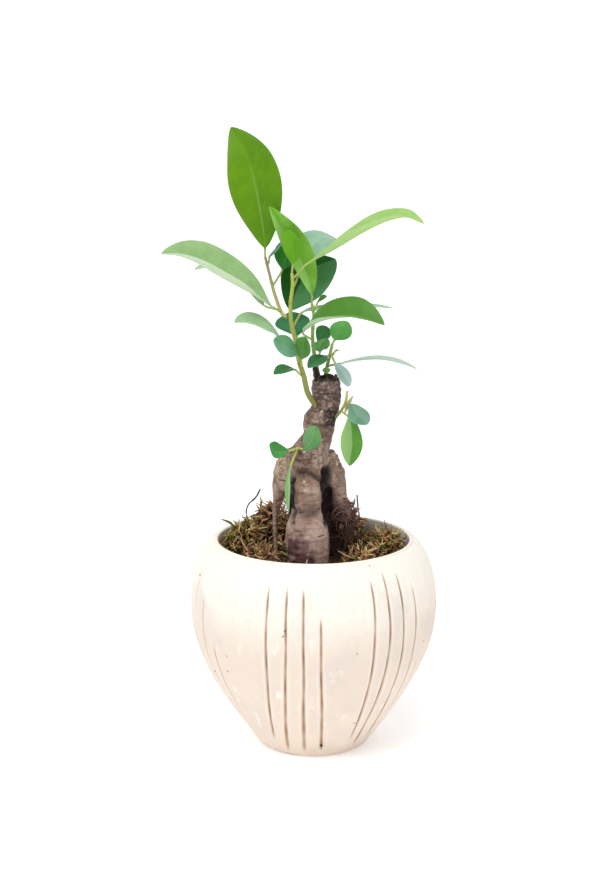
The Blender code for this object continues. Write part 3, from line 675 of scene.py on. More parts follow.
def bark_height(points, neck):
    """Rings (sines of a height bent by clouds), folds (flattened clouds) and knobs (cloud tops)."""
    bent = points + 2.6 * np.stack([cloud(points, 8.0, k) for k in (1, 2, 3)], -1)
    rings = np.sin(bent[:, 2] * 2 * np.pi / RING_SPACING) * np.maximum(0, 0.3 + cloud(bent, 11.0, 4))
    folds = cloud(points * (1, 1, 1.8), 4.6, 7) + 0.5 * cloud(points * (1, 1, 1.5), 2.0, 8)
    knobs = np.maximum(cloud(points, 3.0, 9) - 0.35, 0) * 1.5
    return (0.09 + 0.2 * neck) * rings + (0.2 + 0.22 * neck) * folds + (0.1 + 0.7 * neck) * knobs


def wrinkle_trunk(piece):
    """Moves the skin along its normals by creases, swellings and bark, and tears the cut top."""
    mesh = piece.data
    points, normals = read_points(mesh)
    hollow = hollowness(mesh, points, normals, 60)
    right, back, height = points[:, 0], points[:, 1], points[:, 2] - SOIL_UP
    front = np.stack([right, height], axis=1)
    facing = smooth_step(-normals[:, 1], -0.15, 0.35) * smooth_step(-back, -5, 1)
    seen = smooth_step(-normals[:, 1], -0.7, -0.3)
    shift, shade = press_front(points, front, facing, seen)
    shade = np.maximum(shade, shaded_wood(right, back, height, seen))
    points = points + normals * shift[:, None]
    neck = smooth_step(height, 34, NECK_UP + 8)
    # The cut: its face, the splinter that stands above it, and its rotten middle
    top = TRUNK_TOP - SOIL_UP
    cut = smooth_step(height, top - 14.0, top - 10.0) * smooth_step(normals[:, 2], 0.1, 0.6)
    splinter = smooth_step(height, top - 9.0, top - 7.0)
    points = points + normals * (bark_height(points, neck) * (1 - cut))[:, None]
    crater = points[:, :2] - points[cut > 0.5][:, :2].mean(0)
    crater = np.exp(-np.sum(crater ** 2, axis=1) / 16.0)
    points[:, 2] += cut * (2.4 * cloud(points * (1, 1, 0.3), 2.1, 15) - 1.0 - 2.2 * crater)
    stain = stained_wood(points, front, facing)
    write_points(mesh, points, {"hollow": hollow, "cut": np.maximum(cut, splinter), "neck": neck,
                                "shade": shade, "stain": stain, "up": height})


bark, place = new_finish("grey fig bark", {"Specular IOR Level": 0.28})
hollow, cut, neck = (spread(place, name) for name in ("hollow", "cut", "neck"))
deep, stain, height = (spread(place, name) for name in ("shade", "stain", "up"))
patches = place.noise(85.0, 5.0)
fine = place.noise(560.0, 5.0, 0.68)
rings = place.stretched(0.4, 0.4, 2.2).noise(240.0, 4.0, 0.6)
flat_cells = place.stretched(0.7, 0.7, 1.6)
chosen = flat_cells.cells(420.0, "Color").part(0).rise(0.78, 0.84)
pores = flat_cells.cells(420.0).rise(0.3, 0.14) * chosen
scratches = place.stretched(0.3, 0.3, 3.0).noise(330.0, 3.0).rise(0.64, 0.7)
knots = place.cells(250.0).rise(0.24, 0.12) * place.cells(250.0, "Color").part(0).rise(0.74, 0.78)
shoulder = height.rise(34.0, 42.0) * height.rise(62.0, 52.0) * place.part(0).rise(-0.008, -0.016)
scar = height.rise(65.5, 69.0) * height.rise(78.0, 74.5) * place.part(0).rise(0.003, 0.007)
colour = coated(
    patches.rise(0.38, 0.62).blend(srgb(142, 114, 99), srgb(190, 163, 146)),
    # pinker roots, and a yellowish shoulder over the left root
    (height.rise(32.0, 22.0) * 0.45, (176, 148, 138)),
    (shoulder * patches.rise(0.4, 0.6) * 0.5, (188, 166, 126)),
    # rings and grain, stronger on the neck
    (rings.rise(0.45, 0.68) * 0.5, (94, 72, 62)),
    (fine.rise(0.5, 0.66) * 0.4, (88, 66, 58)),
    (neck * fine.rise(0.42, 0.6) * 0.55, (78, 60, 54)),
    (fine.rise(0.42, 0.3) * 0.4, (190, 168, 152)),
    (pores * (0.25 + 0.55 * neck), (214, 198, 182)),
    (scratches * 0.7, (60, 42, 38)),
    # the neck darkens upward, with pale knots
    (height.rise(68.0, 84.0) * fine.rise(0.3, 0.55) * 0.75, (66, 54, 56)),
    (knots * neck * 0.85, (224, 212, 198)),
)
purple = fine.rise(0.4, 0.6).blend(srgb(48, 26, 38), srgb(96, 58, 60))
colour = (stain * (0.7 + 0.5 * patches)).blend(colour, purple)
# Painted shade, nearly black: the skin's hollows, and the creases, hollows and gaps that wrinkle_trunk
# marks
shadow = (hollow.rise(0.25, 1.6) + deep).math("MINIMUM", 1.0)
colour = coated(colour, (shadow * 0.95, (28, 18, 20)), (scar * fine.rise(0.36, 0.5) * 0.9, (36, 28, 32)))
torn = place.stretched(1, 1, 0.25).noise(600.0, 4.0).rise(0.4, 0.65)
colour = cut.rise(0.15, 0.6).blend(colour, torn.blend(srgb(30, 22, 22), srgb(92, 72, 62)))
relief = rings * 0.9 + fine * 0.7 + patches * 0.3 + pores * 0.4 - scratches * 0.4
feed(bark, colour, 0.7 + 0.2 * fine, relief, depth=0.6)
inner = np.array(INNER_ROOTS, float)
solid, faces = carried(inner[..., :3] + (0, 0, SOIL_UP), inner[..., 3], 14)
inner_roots = bpy.data.meshes.new("inner_roots")
inner_roots.from_pydata((solid * MM).tolist(), [], faces)
trunk = skinned_copy("trunk", "fig_trunk", voxel=0.58, turns=3, finish=bark, more=inner_roots)
wrinkle_trunk(trunk)
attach(trunk, "root")
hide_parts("trunk")

# ---- Root hairs and dry roots ------------------------------------------------
# Wiry dead root ends. Two thick ones are the frame's own; a tuft frays round the cut
# right root and a few pale hairs cross the gap beside the left root.

# Curled fibres that fray from the skin of the cut root's end
FRAYED = 130
FRAYED_STOPS = 12
HAIR_STOPS = 10
HAIR_GROUPS = (
    # name, middle from the trunk's foot (right, back, up), half size, count, length, main way,
    # radius, how light they are, kept low as painted shade for the hairs in the hollow under the cut root
    ("cut_root_tuft", (17, -3.5, 15), (4, 3, 3.5), 70, 7, (0.3, -0.5, 0.0), 0.17, 0.5),
    ("cut_root_fringe", (13, -2, 9), (6, 3, 5), 50, 7, (0.0, -0.2, -1.0), 0.16, 0.2),
    ("gap_hairs", (-16.3, -5, 31), (2.0, 2, 2), 18, 9, (0.35, -0.2, -1.4), 0.2, 2.2),
    ("collar_hairs", (7, -5, 17), (3, 3, 8), 30, 8, (0.1, -0.4, -1.0), 0.13, 0.3),
)


def tube_piece(name, paths, radii, sides, finish, values):
    """One piece of many tubes. Values are (tubes, stops) numbers, by name."""
    points, faces = carried(paths, radii, sides)
    values = {key: np.repeat(value, sides) for key, value in values.items()}
    return new_piece(name, points, faces, finish, values)


def curly_paths(random, starts, ways, lengths, stops, curl, wiggle):
    """Paths that set out along ways, bend steadily to one side and wiggle to another."""
    count = len(starts)
    step = np.arange(stops)[None, :, None] / (stops - 1)
    bend, shake = random.normal(size=(2, count, 1, 3))
    beat = random.uniform(1.5, 4.0, (count, 1, 1))
    ways = ways / np.linalg.norm(ways, axis=1, keepdims=True)
    way = ways[:, None] + curl * bend * step + wiggle * shake * np.sin(beat * 2 * np.pi * step)
    way /= np.linalg.norm(way, axis=2, keepdims=True)
    moves = way[:, :-1] * lengths[:, None, None] / (stops - 1)
    return starts[:, None] + np.concatenate([np.zeros((count, 1, 3)), np.cumsum(moves, 1)], 1)


hair, place = new_finish("dry root", {"Specular IOR Level": 0.2})
tone = spread(place, "tone")
grit = place.noise(1500.0, 3.0)
colour = (tone * tone * 0.8 + grit * 0.3).blend(srgb(38, 20, 22), srgb(182, 142, 122))
feed(hair, colour, 0.7 + 0.2 * grit, grit, depth=0.15)
random = np.random.default_rng(34)
for name, middle, half, count, length, way, thick, tone_and_shade in HAIR_GROUPS:
    starts = np.array(middle) + random.uniform(-1, 1, (count, 3)) * half + (0, 0, SOIL_UP)
    ways = np.array(way) + 0.8 * random.normal(size=(count, 3))
    lengths = length * random.uniform(0.5, 1.3, count)
    paths = curly_paths(random, starts, ways, lengths, HAIR_STOPS, curl=1.6, wiggle=0.5)
    radii = thick * random.uniform(0.7, 1.4, (count, 1)) * np.linspace(1.0, 0.35, HAIR_STOPS)
    tones = np.repeat(tone_and_shade * random.uniform(0, 1, (count, 1)), HAIR_STOPS, 1)
    tuft = tube_piece(name, paths, radii, 4, hair, {"tone": tones})
    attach(tuft, "root")

skin, outward = read_points(trunk.data)
spots = (skin[:, 0] > 9.5) & (np.abs(skin[:, 2] - SOIL_UP - 23) < 7) & (outward[:, 1] < 0.1)
spots = random.choice(np.flatnonzero(spots), FRAYED)
ways = 0.7 * outward[spots] + 0.7 * random.normal(size=(FRAYED, 3))
lengths = random.uniform(2.5, 6.0, FRAYED)
paths = curly_paths(random, skin[spots], ways, lengths, FRAYED_STOPS, curl=2.8, wiggle=1.2)
radii = 0.3 * random.uniform(0.5, 1.3, (FRAYED, 1)) * np.linspace(1.0, 0.4, FRAYED_STOPS)
tones = np.repeat(random.uniform(0.1, 1, (FRAYED, 1)), FRAYED_STOPS, 1)
tuft = tube_piece("cut_root_fibres", paths, radii, 4, hair, {"tone": tones})
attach(tuft, "root")

wiry, place = new_finish("wiry root", {"Specular IOR Level": 0.3})
grit = place.noise(700.0, 4.0)
colour = grit.rise(0.35, 0.65).blend(srgb(52, 44, 42), srgb(120, 104, 92))
feed(wiry, colour, 0.6 + 0.3 * grit, grit, depth=0.2)
for node in ("dry_root_left", "dry_root_right"):
    wire = skinned_copy(node, node.replace("dry", "wiry"), voxel=0.14, turns=3, finish=wiry)
    points, normals = read_points(wire.data)
    knots = cloud(points, 2.6, 40) + 0.5 * cloud(points, 0.9, 41)
    write_points(wire.data, points + normals * (0.12 * knots + 0.05)[:, None], {})
    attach(wire, "root")
    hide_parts(node)

# ---- Moss --------------------------------------------------------------------
# Dried carpet moss laid over the soil: curled brown and olive strands heaped against
# the wall, greener where they still get water. Each cushion has a dark felted core.

CUSHIONS = {
    # strands, share of green ones, strand length, how much they stand up
    "moss_front_left": (360, 0.08, 9.0, 0.0),
    "moss_left": (420, 0.4, 9.0, 0.05),
    "moss_back_left": (440, 0.03, 9.0, 0.1),
    "moss_back_right": (380, 0.1, 9.0, 0.05),
    "moss_right": (400, 0.35, 9.0, 0.05),
    "moss_front_right": (360, 0.12, 9.0, 0.0),
    "moss_front": (170, 0.2, 7.0, 0.0),
}
LOOSE_STRANDS = 700
STRAND_STOPS = 13
STRAND_RADIUS = 0.5
STRAND_CLEAR = 0.9
# Loose strands leave the hollow beside the cut root empty: its middle and half size
HOLLOW_AT, HOLLOW_HALF = (12, -2), (10, 12)


def surface_spots(random, node, count):
    """Spots spread evenly over the upper faces of a CAD node, with the faces' normals."""
    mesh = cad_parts[node].data
    mesh.calc_loop_triangles()
    sides = np.zeros(len(mesh.loop_triangles) * 3, np.int32)
    mesh.loop_triangles.foreach_get("vertices", sides)
    a, b, c = np.moveaxis(read_points(mesh)[0][sides.reshape(-1, 3)], 1, 0)
    normal = np.cross(b - a, c - a)
    area = np.linalg.norm(normal, axis=1)
    normal = normal / (area[:, None] + 1e-12)
    area = area * (normal[:, 2] > -0.2)
    pick = random.choice(len(area), count, p=area / area.sum())
    u, v = np.sort(random.uniform(0, 1, (2, count)), axis=0)[:, :, None]
    return a[pick] * u + b[pick] * (v - u) + c[pick] * (1 - v), normal[pick]


def kept_in_pot(paths):
    """Paths drawn in where they would pass the pot's wall, and lifted out of the soil."""
    away = np.linalg.norm(paths[..., :2], axis=-1, keepdims=True)
    height = paths[..., 2:]
    inner_wall = pot_inner(np.minimum(height, POT_HEIGHT))
    room = np.where(height < POT_HEIGHT, inner_wall, MOUTH_RADIUS + 1.0)
    paths[..., :2] *= np.minimum(1, (room - STRAND_CLEAR) / away)
    paths[..., 2] = np.maximum(paths[..., 2], SOIL_UP - 0.3)
    return paths


def moss_strands(random, name, starts, ways, length, green_share):
    """Flat curly strands, thick in the middle, each with its own tone and greenness."""
    count = len(starts)
    lengths = length * random.uniform(0.45, 1.25, count)
    paths = curly_paths(random, starts, ways, lengths, STRAND_STOPS, curl=3.4, wiggle=1.4)
    paths = kept_in_pot(paths)
    along = np.linspace(0, 1, STRAND_STOPS)
    shape = np.sin(np.pi * (0.12 + 0.85 * along)) ** 0.6
    radii = STRAND_RADIUS * random.uniform(0.6, 1.5, (count, 1)) * shape
    tone = np.repeat(random.uniform(0, 1, (count, 1)), STRAND_STOPS, 1)
    green = np.repeat((random.uniform(0, 1, (count, 1)) < green_share) * 1.0, STRAND_STOPS, 1)
    values = {"tone": tone, "green": green, "along": tone * 0 + along}
    return tube_piece(name, paths, radii, 3, moss, values)


def ramp(level, *stops):
    """A colour read off a row of stops, each a level and the display levels of a colour."""
    return level.node("ValToRGB", {0: level}, stops=[(at, srgb(*levels)) for at, levels in stops])


moss, place = new_finish("dry moss", {"Specular IOR Level": 0.2})
tone, green, reach = (spread(place, n) for n in ("tone", "green", "along"))
dust = place.noise(650.0, 3.0)
level = tone + (dust - 0.5) * 0.35
brown = ramp(level, (0.0, (50, 28, 22)), (0.35, (124, 80, 56)), (0.7, (182, 134, 90)),
             (1.0, (238, 202, 150)))
olive = ramp(level, (0.0, (56, 56, 20)), (0.4, (106, 104, 38)), (0.75, (156, 152, 70)),
             (1.0, (214, 206, 128)))
colour = green.blend(brown, olive)
colour = (reach.rise(0.6, 1.0) * 0.35).blend(colour, srgb(206, 184, 128))
feed(moss, colour, 0.8 + 0.15 * dust, dust, depth=0.2)

felt, place = new_finish("moss felt", {"Specular IOR Level": 0.1})
tuft = place.noise(420.0, 5.0, 0.7)
colour = tuft.rise(0.35, 0.7).blend(srgb(26, 16, 14), srgb(70, 50, 34))
feed(felt, colour, 0.9 + 0.08 * tuft, tuft, depth=0.8)

random = np.random.default_rng(55)
for node, (count, green_share, length, stand) in CUSHIONS.items():
    core = skinned_copy(node, node + "_core", voxel=0.9, turns=2, finish=felt)
    points, normals = read_points(core.data)
    lumps = 1.3 * cloud(points, 3.4, 50) + 0.8 * cloud(points, 1.6, 51) - 2.0
    write_points(core.data, points + normals * lumps[:, None], {})
    spots, normals = surface_spots(random, node, count)
    starts = spots - normals * random.uniform(0.5, 3.5, (count, 1))
    side = random.normal(size=(count, 3))
    side -= normals * np.sum(side * normals, axis=1, keepdims=True)
    ways = side + normals * stand + (0, 0, stand)
    strands = moss_strands(random, node + "_strands", starts, ways, length, green_share)
    for piece in (core, strands):
        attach(piece, "root")
    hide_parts(node)

wood = read_points(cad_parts["trunk"].data)[0]
wood = wood[np.abs(wood[:, 2] - SOIL_UP - 3) < 5]
away = pot_inner(SOIL_UP) * np.sqrt(random.uniform(0.03, 0.97, LOOSE_STRANDS))
angle = random.uniform(0, 2 * np.pi, LOOSE_STRANDS)
lift = random.uniform(0, 3.5, LOOSE_STRANDS)
spots = np.stack([away * np.sin(angle), -away * np.cos(angle), SOIL_UP + lift], -1)
gap = np.linalg.norm(spots[:, None, :2] - wood[None, :, :2], axis=-1).min(1)
in_hollow = np.all(np.abs(spots[:, :2] - HOLLOW_AT) < HOLLOW_HALF, axis=1)
spots = spots[(gap > 2.0) & ~in_hollow]
ways = random.normal(size=spots.shape) * (1, 1, 0.35) + (0, 0, 0.15)
loose = moss_strands(random, "moss_loose", spots, ways, length=8.0, green_share=0.3)
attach(loose, "root")

# ---- Shoots ------------------------------------------------------------------
# Soft green stems with a faint ring where each leaf was, browner where they leave the
# wood, as the frame says. Papery scales that wrapped a bud still hang on two of them.

SHOOTS = {
    # colour at the foot, colour at the tip
    "shoot_main": ((128, 132, 62), (176, 188, 84)),
    "shoot_left": ((182, 178, 96), (150, 130, 104)),
    "shoot_right": ((120, 138, 60), (150, 180, 90)),
    "shoot_middle": ((110, 112, 60), (150, 176, 96)),
    "shoot_side": ((122, 128, 66), (196, 192, 104)),
    "shoot_low": ((166, 180, 96), (198, 206, 122)),
}
LEAF_SPACING = 8.5


def shoot_finish(name, foot, tip):
    """A stem's skin: foot to tip colour, brown flecks, and fine grooves along it."""
    skin, place = new_finish(name + " skin", {"Specular IOR Level": 0.4})
    reach, ring = spread(place, "reach"), spread(place, "ring")
    fleck = place.stretched(1, 1, 0.4).noise(700.0, 4.0)
    colour = coated(reach.blend(srgb(*foot), srgb(*tip)),
                    (fleck.rise(0.55, 0.75) * 0.4, (118, 98, 66)), (ring * 0.45, (120, 104, 70)))
    feed(skin, colour, 0.42 + 0.25 * fleck, place.stretched(1, 1, 0.2).noise(900.0, 3.0), depth=0.15)
    return skin


for node, (foot, tip) in SHOOTS.items():
    skin = shoot_finish(node, foot, tip)
    stem = skinned_copy(node, node.replace("shoot", "stem"), voxel=0.3, turns=4, finish=skin)
    points, normals = read_points(stem.data)
    low, high = points[:, 2].min(), points[:, 2].max()
    reach = (points[:, 2] - low) / (high - low)
    ring = np.maximum(0, np.cos(2 * np.pi * (points[:, 2] - low) / LEAF_SPACING)) ** 18
    ring = ring * (0.5 + 0.5 * cloud(points, 5.0, 61))
    swell = -0.1 + 0.2 * ring + 0.06 * cloud(points, 1.4, 60)
    write_points(stem.data, points + normals * swell[:, None], {"reach": reach, "ring": ring})
    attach(stem, "root")
    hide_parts(node)

SCALES = (
    # dry scales that once wrapped a bud: name, foot and tip from the soil's middle, widest radius
    ("bud_sheath", (14.5, -9, 74), (18.5, -11, 83), 1.0),
    ("stipule_high", (8.6, 7.6, 98), (11.6, 5.5, 103), 0.5),
    ("stipule_curl", (8.8, 7.4, 100), (13.2, 4.5, 102), 0.35),
)
papery, place = new_finish("papery scale", {"Specular IOR Level": 0.3})
thread = place.stretched(1, 1, 0.2).noise(900.0, 3.0)
colour = thread.rise(0.35, 0.7).blend(srgb(196, 190, 120), srgb(150, 138, 112))
feed(papery, colour, 0.6 + 0.2 * thread, thread, depth=0.15)
for name, foot, tip, wide in SCALES:
    share = np.linspace(0, 1, 14)[:, None]
    path = np.array(foot) + (np.array(tip) - foot) * share + (0, 0, SOIL_UP)
    path[:, 2] += 0.8 * np.sin(np.pi * share[:, 0])
    radii = wide * np.maximum(np.sin(np.pi * share[:, 0] ** 0.8), 0.12) ** 0.8
    scale = tube_piece(name, path[None], radii[None], 10, papery, {})
    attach(scale, "root")

# ---- Leaves ------------------------------------------------------------------
# Thick waxy blades, folded along a pale midrib and a little arched on each side of it,
# on round stalks. A blade's outline and fold come from its node's own sections.

LEAF_RINGS = 11
# Where the rings of a leaf stand: two on the stalk, the rest at these shares of the blade
LEAF_SHARES = np.array((0, 0.07, 0.2, 0.36, 0.53, 0.7, 0.85, 0.95, 1))
LEAF_ROWS = 56
STALK_ROWS = 12
LEAF_LOOP = 44
BLADE_HALF_THICK = 0.24
STALK_RADIUS = 0.5
STALK_SUNK = 0.9
# The midrib: half width, how deep its groove is above and how far it stands out below
RIB_HALF, RIB_GROOVE, RIB_BELOW = 0.55, 0.16, 0.38
# How high a half arches and its edge ripples, in shares of the half's width
ARCH, RIPPLE = 0.03, 0.01
# Leaves that bend so tightly that all their rows keep one direction
BENT = ("leaf_back_broad", "leaf_back_teal", "leaf_dark_behind")
# How far the left and the right half turn up, in degrees, on two leaves that fold unevenly
TURNED = {"leaf_left_long": (-19, 0), "leaf_front_right": (14, -13)}
# A blade's outline has two powers: how far its widest place moves out, and how full it is.
# A blade is blunt if its last ring but one is wider than this share of its widest
POINTED, BLUNT = (1.05, 0.85), (1.26, 0.6)
BLUNT_FROM = 0.33
# Where a blade's two halves differ in tone, that is painted light and shade: the fold leaves one half lit
# or glossy and the other in shade. The bright yellow-green of leaf_top is painted light shining through it.
LEAF_LOOKS = {
    # slot, left of the midrib, right of it, underside, tip, looking from the foot with the face up
    "leaf_top": ("leaf_light", (90, 136, 2), (82, 128, 1), (150, 186, 90), (86, 122, 20)),
    "leaf_left_long": ("leaf_pale", (160, 192, 134), (144, 180, 118), (188, 208, 172), (104, 140, 92)),
    "leaf_left_behind": ("leaf_pale", (150, 184, 130), (140, 176, 120), (176, 204, 164), (90, 128, 92)),
    "leaf_dark_behind": ("leaf_dark", (50, 126, 40), (38, 112, 30), (90, 150, 80), (40, 100, 40)),
    "leaf_narrow": ("leaf_dark", (56, 96, 70), (48, 86, 60), (110, 150, 120), (60, 90, 70)),
    "leaf_young": ("leaf_light", (98, 160, 14), (88, 150, 10), (150, 196, 90), (120, 170, 40)),
    "leaf_right_long": ("leaf_light", (150, 190, 102), (160, 198, 112), (168, 202, 124), (104, 150, 54)),
    "leaf_back_top": ("leaf_pale", (148, 186, 158), (132, 172, 142), (178, 206, 184), (120, 160, 130)),
    "leaf_back_broad": ("leaf_dark", (16, 80, 8), (76, 134, 80), (110, 160, 110), (108, 152, 112)),
    "leaf_back_right": ("leaf_pale", (140, 184, 142), (150, 188, 150), (176, 206, 176), (140, 176, 140)),
    "leaf_left_pale": ("leaf_pale", (160, 192, 150), (148, 184, 136), (186, 208, 176), (84, 112, 110)),
    "leaf_back_teal": ("leaf_teal", (54, 130, 80), (44, 120, 72), (110, 170, 130), (70, 136, 96)),
    "leaf_front_left": ("leaf_teal", (108, 160, 124), (92, 148, 100), (160, 196, 170), (146, 180, 156)),
    "leaf_front_olive": ("leaf_green", (84, 138, 62), (74, 126, 48), (140, 180, 120), (90, 140, 70)),
    "leaf_low_left": ("leaf_green", (46, 106, 52), (62, 124, 60), (130, 170, 130), (140, 190, 120)),
    "leaf_front_curled": ("leaf_light", (140, 192, 92), (112, 168, 40), (166, 206, 130), (150, 194, 110)),
    "leaf_bud": ("leaf_green", (70, 124, 50), (60, 112, 44), (120, 170, 100), (60, 104, 50)),
    "leaf_front_right": ("leaf_green", (82, 136, 48), (96, 150, 66), (176, 202, 160), (70, 116, 60)),
    "leaf_mid_dark": ("leaf_green", (52, 116, 58), (44, 104, 46), (110, 160, 110), (60, 116, 60)),
    "leaf_mid_olive": ("leaf_green", (92, 150, 76), (76, 134, 60), (140, 184, 120), (110, 150, 100)),
    "leaf_round": ("leaf_green", (96, 166, 82), (84, 154, 66), (150, 194, 140), (100, 160, 90)),
    "leaf_thin": ("leaf_pale", (196, 216, 196), (184, 206, 184), (206, 222, 206), (130, 160, 136)),
    "leaf_low_centre": ("leaf_teal", (78, 134, 84), (64, 120, 76), (120, 166, 134), (60, 110, 80)),
    "leaf_pale_hanging": ("leaf_teal", (170, 194, 188), (150, 180, 172), (184, 206, 200), (116, 160, 136)),
    "leaf_stump": ("leaf_light", (128, 176, 76), (112, 164, 62), (160, 200, 120), (120, 170, 80)),
    "leaf_side_round": ("leaf_teal", (116, 152, 128), (100, 146, 118), (160, 196, 180), (100, 150, 116)),
    "leaf_side_hanging": ("leaf_green", (86, 142, 50), (148, 186, 116), (166, 200, 140), (86, 130, 70)),
    "leaf_low_up": ("leaf_green", (98, 148, 90), (86, 138, 76), (150, 190, 144), (106, 152, 96)),
    "leaf_low_out": ("leaf_green", (72, 140, 70), (60, 128, 52), (130, 180, 126), (130, 180, 140)),
    "leaf_low_hanging": ("leaf_light", (130, 176, 112), (110, 162, 84), (160, 200, 150), (120, 170, 100)),
}


def leaf_sections(node):
    """The leaf's rings of four corners from stalk to tip, as (rings, (left, top, right, bottom), 3).

    The node is a loft, so every ring of four that starts at an end is one step further
    through its edges.
    """
    shell = bmesh.new()
    shell.from_mesh(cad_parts[node].data)
    bmesh.ops.remove_doubles(shell, verts=shell.verts, dist=1e-6)
    shell.verts.ensure_lookup_table()
    places = np.array([v.co for v in shell.verts], float) / MM
    beside = [{e.other_vert(v).index for e in v.link_edges} for v in shell.verts]
    shell.free()

    def steps_from(ring):
        rings, seen = [ring], set(ring)
        while True:
            after = set().union(*(beside[i] for i in rings[-1])) - seen
            if not after:
                return rings
            seen |= after
            rings.append(sorted(after))

    far = steps_from(steps_from([0])[-1][:1])[-1][0]
    close = sorted(set().union(*(beside[i] for i in beside[far])) - {far})
    found = []
    for i, a in enumerate(close):
        for j, b in enumerate(close[i + 1:], i + 1):
            for c in close[j + 1:]:
                rings = steps_from([far, a, b, c])
                if len(rings) == LEAF_RINGS and all(len(r) == 4 for r in rings):
                    size = np.ptp(places[rings[0]], axis=0).sum()
                    found.append((size, rings))
    rings = min(found, key=lambda pair: pair[0])[1]
    ends = [np.ptp(places[ring], axis=0).max() for ring in (rings[0], rings[-1])]
    if ends[0] < ends[1]:
        rings.reverse()
    return ordered_corners(places, rings)


def ordered_corners(places, rings):
    """Sorts each ring's corners round its middle, from the left edge, with the face on top."""
    middles = np.array([places[ring].mean(0) for ring in rings])
    ways = np.gradient(middles, axis=0)
    ways /= np.linalg.norm(ways, axis=1, keepdims=True)
    wide = LEAF_RINGS // 2
    corners = places[rings[wide]]
    spans = np.linalg.norm(corners[:, None] - corners[None], axis=2)
    left, right = np.unravel_index(np.argmax(spans), spans.shape)
    ribs = [i for i in range(4) if i not in (left, right)]
    lift = corners[[left, right]].mean(0) - corners[ribs].mean(0)
    face = lift - ways[wide] * np.dot(lift, ways[wide])
    sections = [None] * len(rings)
    for turn in (range(wide, -1, -1), range(wide, len(rings))):
        up = face
        for k in turn:
            up = up - ways[k] * np.dot(up, ways[k])
            up /= np.linalg.norm(up)
            right_way = np.cross(ways[k], up)
            offset = places[rings[k]] - middles[k]
            across, above = offset @ right_way, offset @ up
            order = [int(np.argmin(across)), None, int(np.argmax(across)), None]
            ribs = sorted((i for i in range(4) if i not in order), key=lambda i: above[i])
            order[1], order[3] = ribs[1], ribs[0]
            sections[k] = places[rings[k]][order]
            top = sections[k][1] - sections[k][3]
            up = top / np.linalg.norm(top)
    return np.array(sections)


def through(stations, rows, at):
    """A smooth curve through rows at stations: cubics whose slopes come from both neighbours."""
    slopes = np.gradient(rows, stations, axis=0)
    k = np.clip(np.searchsorted(stations, at, side="right") - 1, 0, len(stations) - 2)
    span = (stations[k + 1] - stations[k])[:, None]
    t = (at[:, None] - stations[k][:, None]) / span
    return ((2 * t ** 3 - 3 * t ** 2 + 1) * rows[k] + (t ** 3 - 2 * t ** 2 + t) * span * slopes[k]
            + (3 * t ** 2 - 2 * t ** 3) * rows[k + 1] + (t ** 3 - t ** 2) * span * slopes[k + 1])


def leaf_halves(node, middle, edges, reach, at, face):
    """Each half's way from the midrib to its edge, row by row, as long as the half is wide.

    Along the blade the width is sin(pi * share ** skew) ** fullness, and on the stalk it
    is the stalk's radius.
    """
    offsets = [edge - middle for edge in edges]
    widths = [np.linalg.norm(offset, axis=1) for offset in offsets]
    share = (1 - np.cos(np.pi * np.clip(at, 0, 1))) / 2
    skew, fullness = BLUNT if widths[0][-2] > BLUNT_FROM * widths[0].max() else POINTED
    outline = np.maximum(np.sin(np.pi * share ** skew), 0) ** fullness
    steady = 0.95 * smooth_step(share, 0.0, 0.25) * (fullness == BLUNT[1] or node in BENT)
    halves = []
    for offset, width, turned in zip(offsets, widths, TURNED.get(node, (0, 0))):
        way = through(reach, offset / width[:, None], np.maximum(at, -1))
        middle_way = way[np.argmin(np.abs(share - 0.5))]
        way = way + steady[:, None] * (middle_way - way)
        # Each row leans like the mean of itself and the six rows before and after it
        way[8:-8] = sum(way[8 + k:len(way) - 8 + k] for k in range(-6, 7)) / 13
        way /= np.linalg.norm(way, axis=1, keepdims=True)
        over = face - way * np.sum(face * way, axis=1, keepdims=True)
        over /= np.linalg.norm(over, axis=1, keepdims=True)
        angle = math.radians(turned) * np.clip(share * 6, 0, 1)[:, None]
        half = np.maximum(outline * width[2:].max(), STALK_RADIUS * smooth_step(-share, -0.5, -0.2))
        halves.append((way * np.cos(angle) + over * np.sin(angle)) * half[:, None])
    return halves


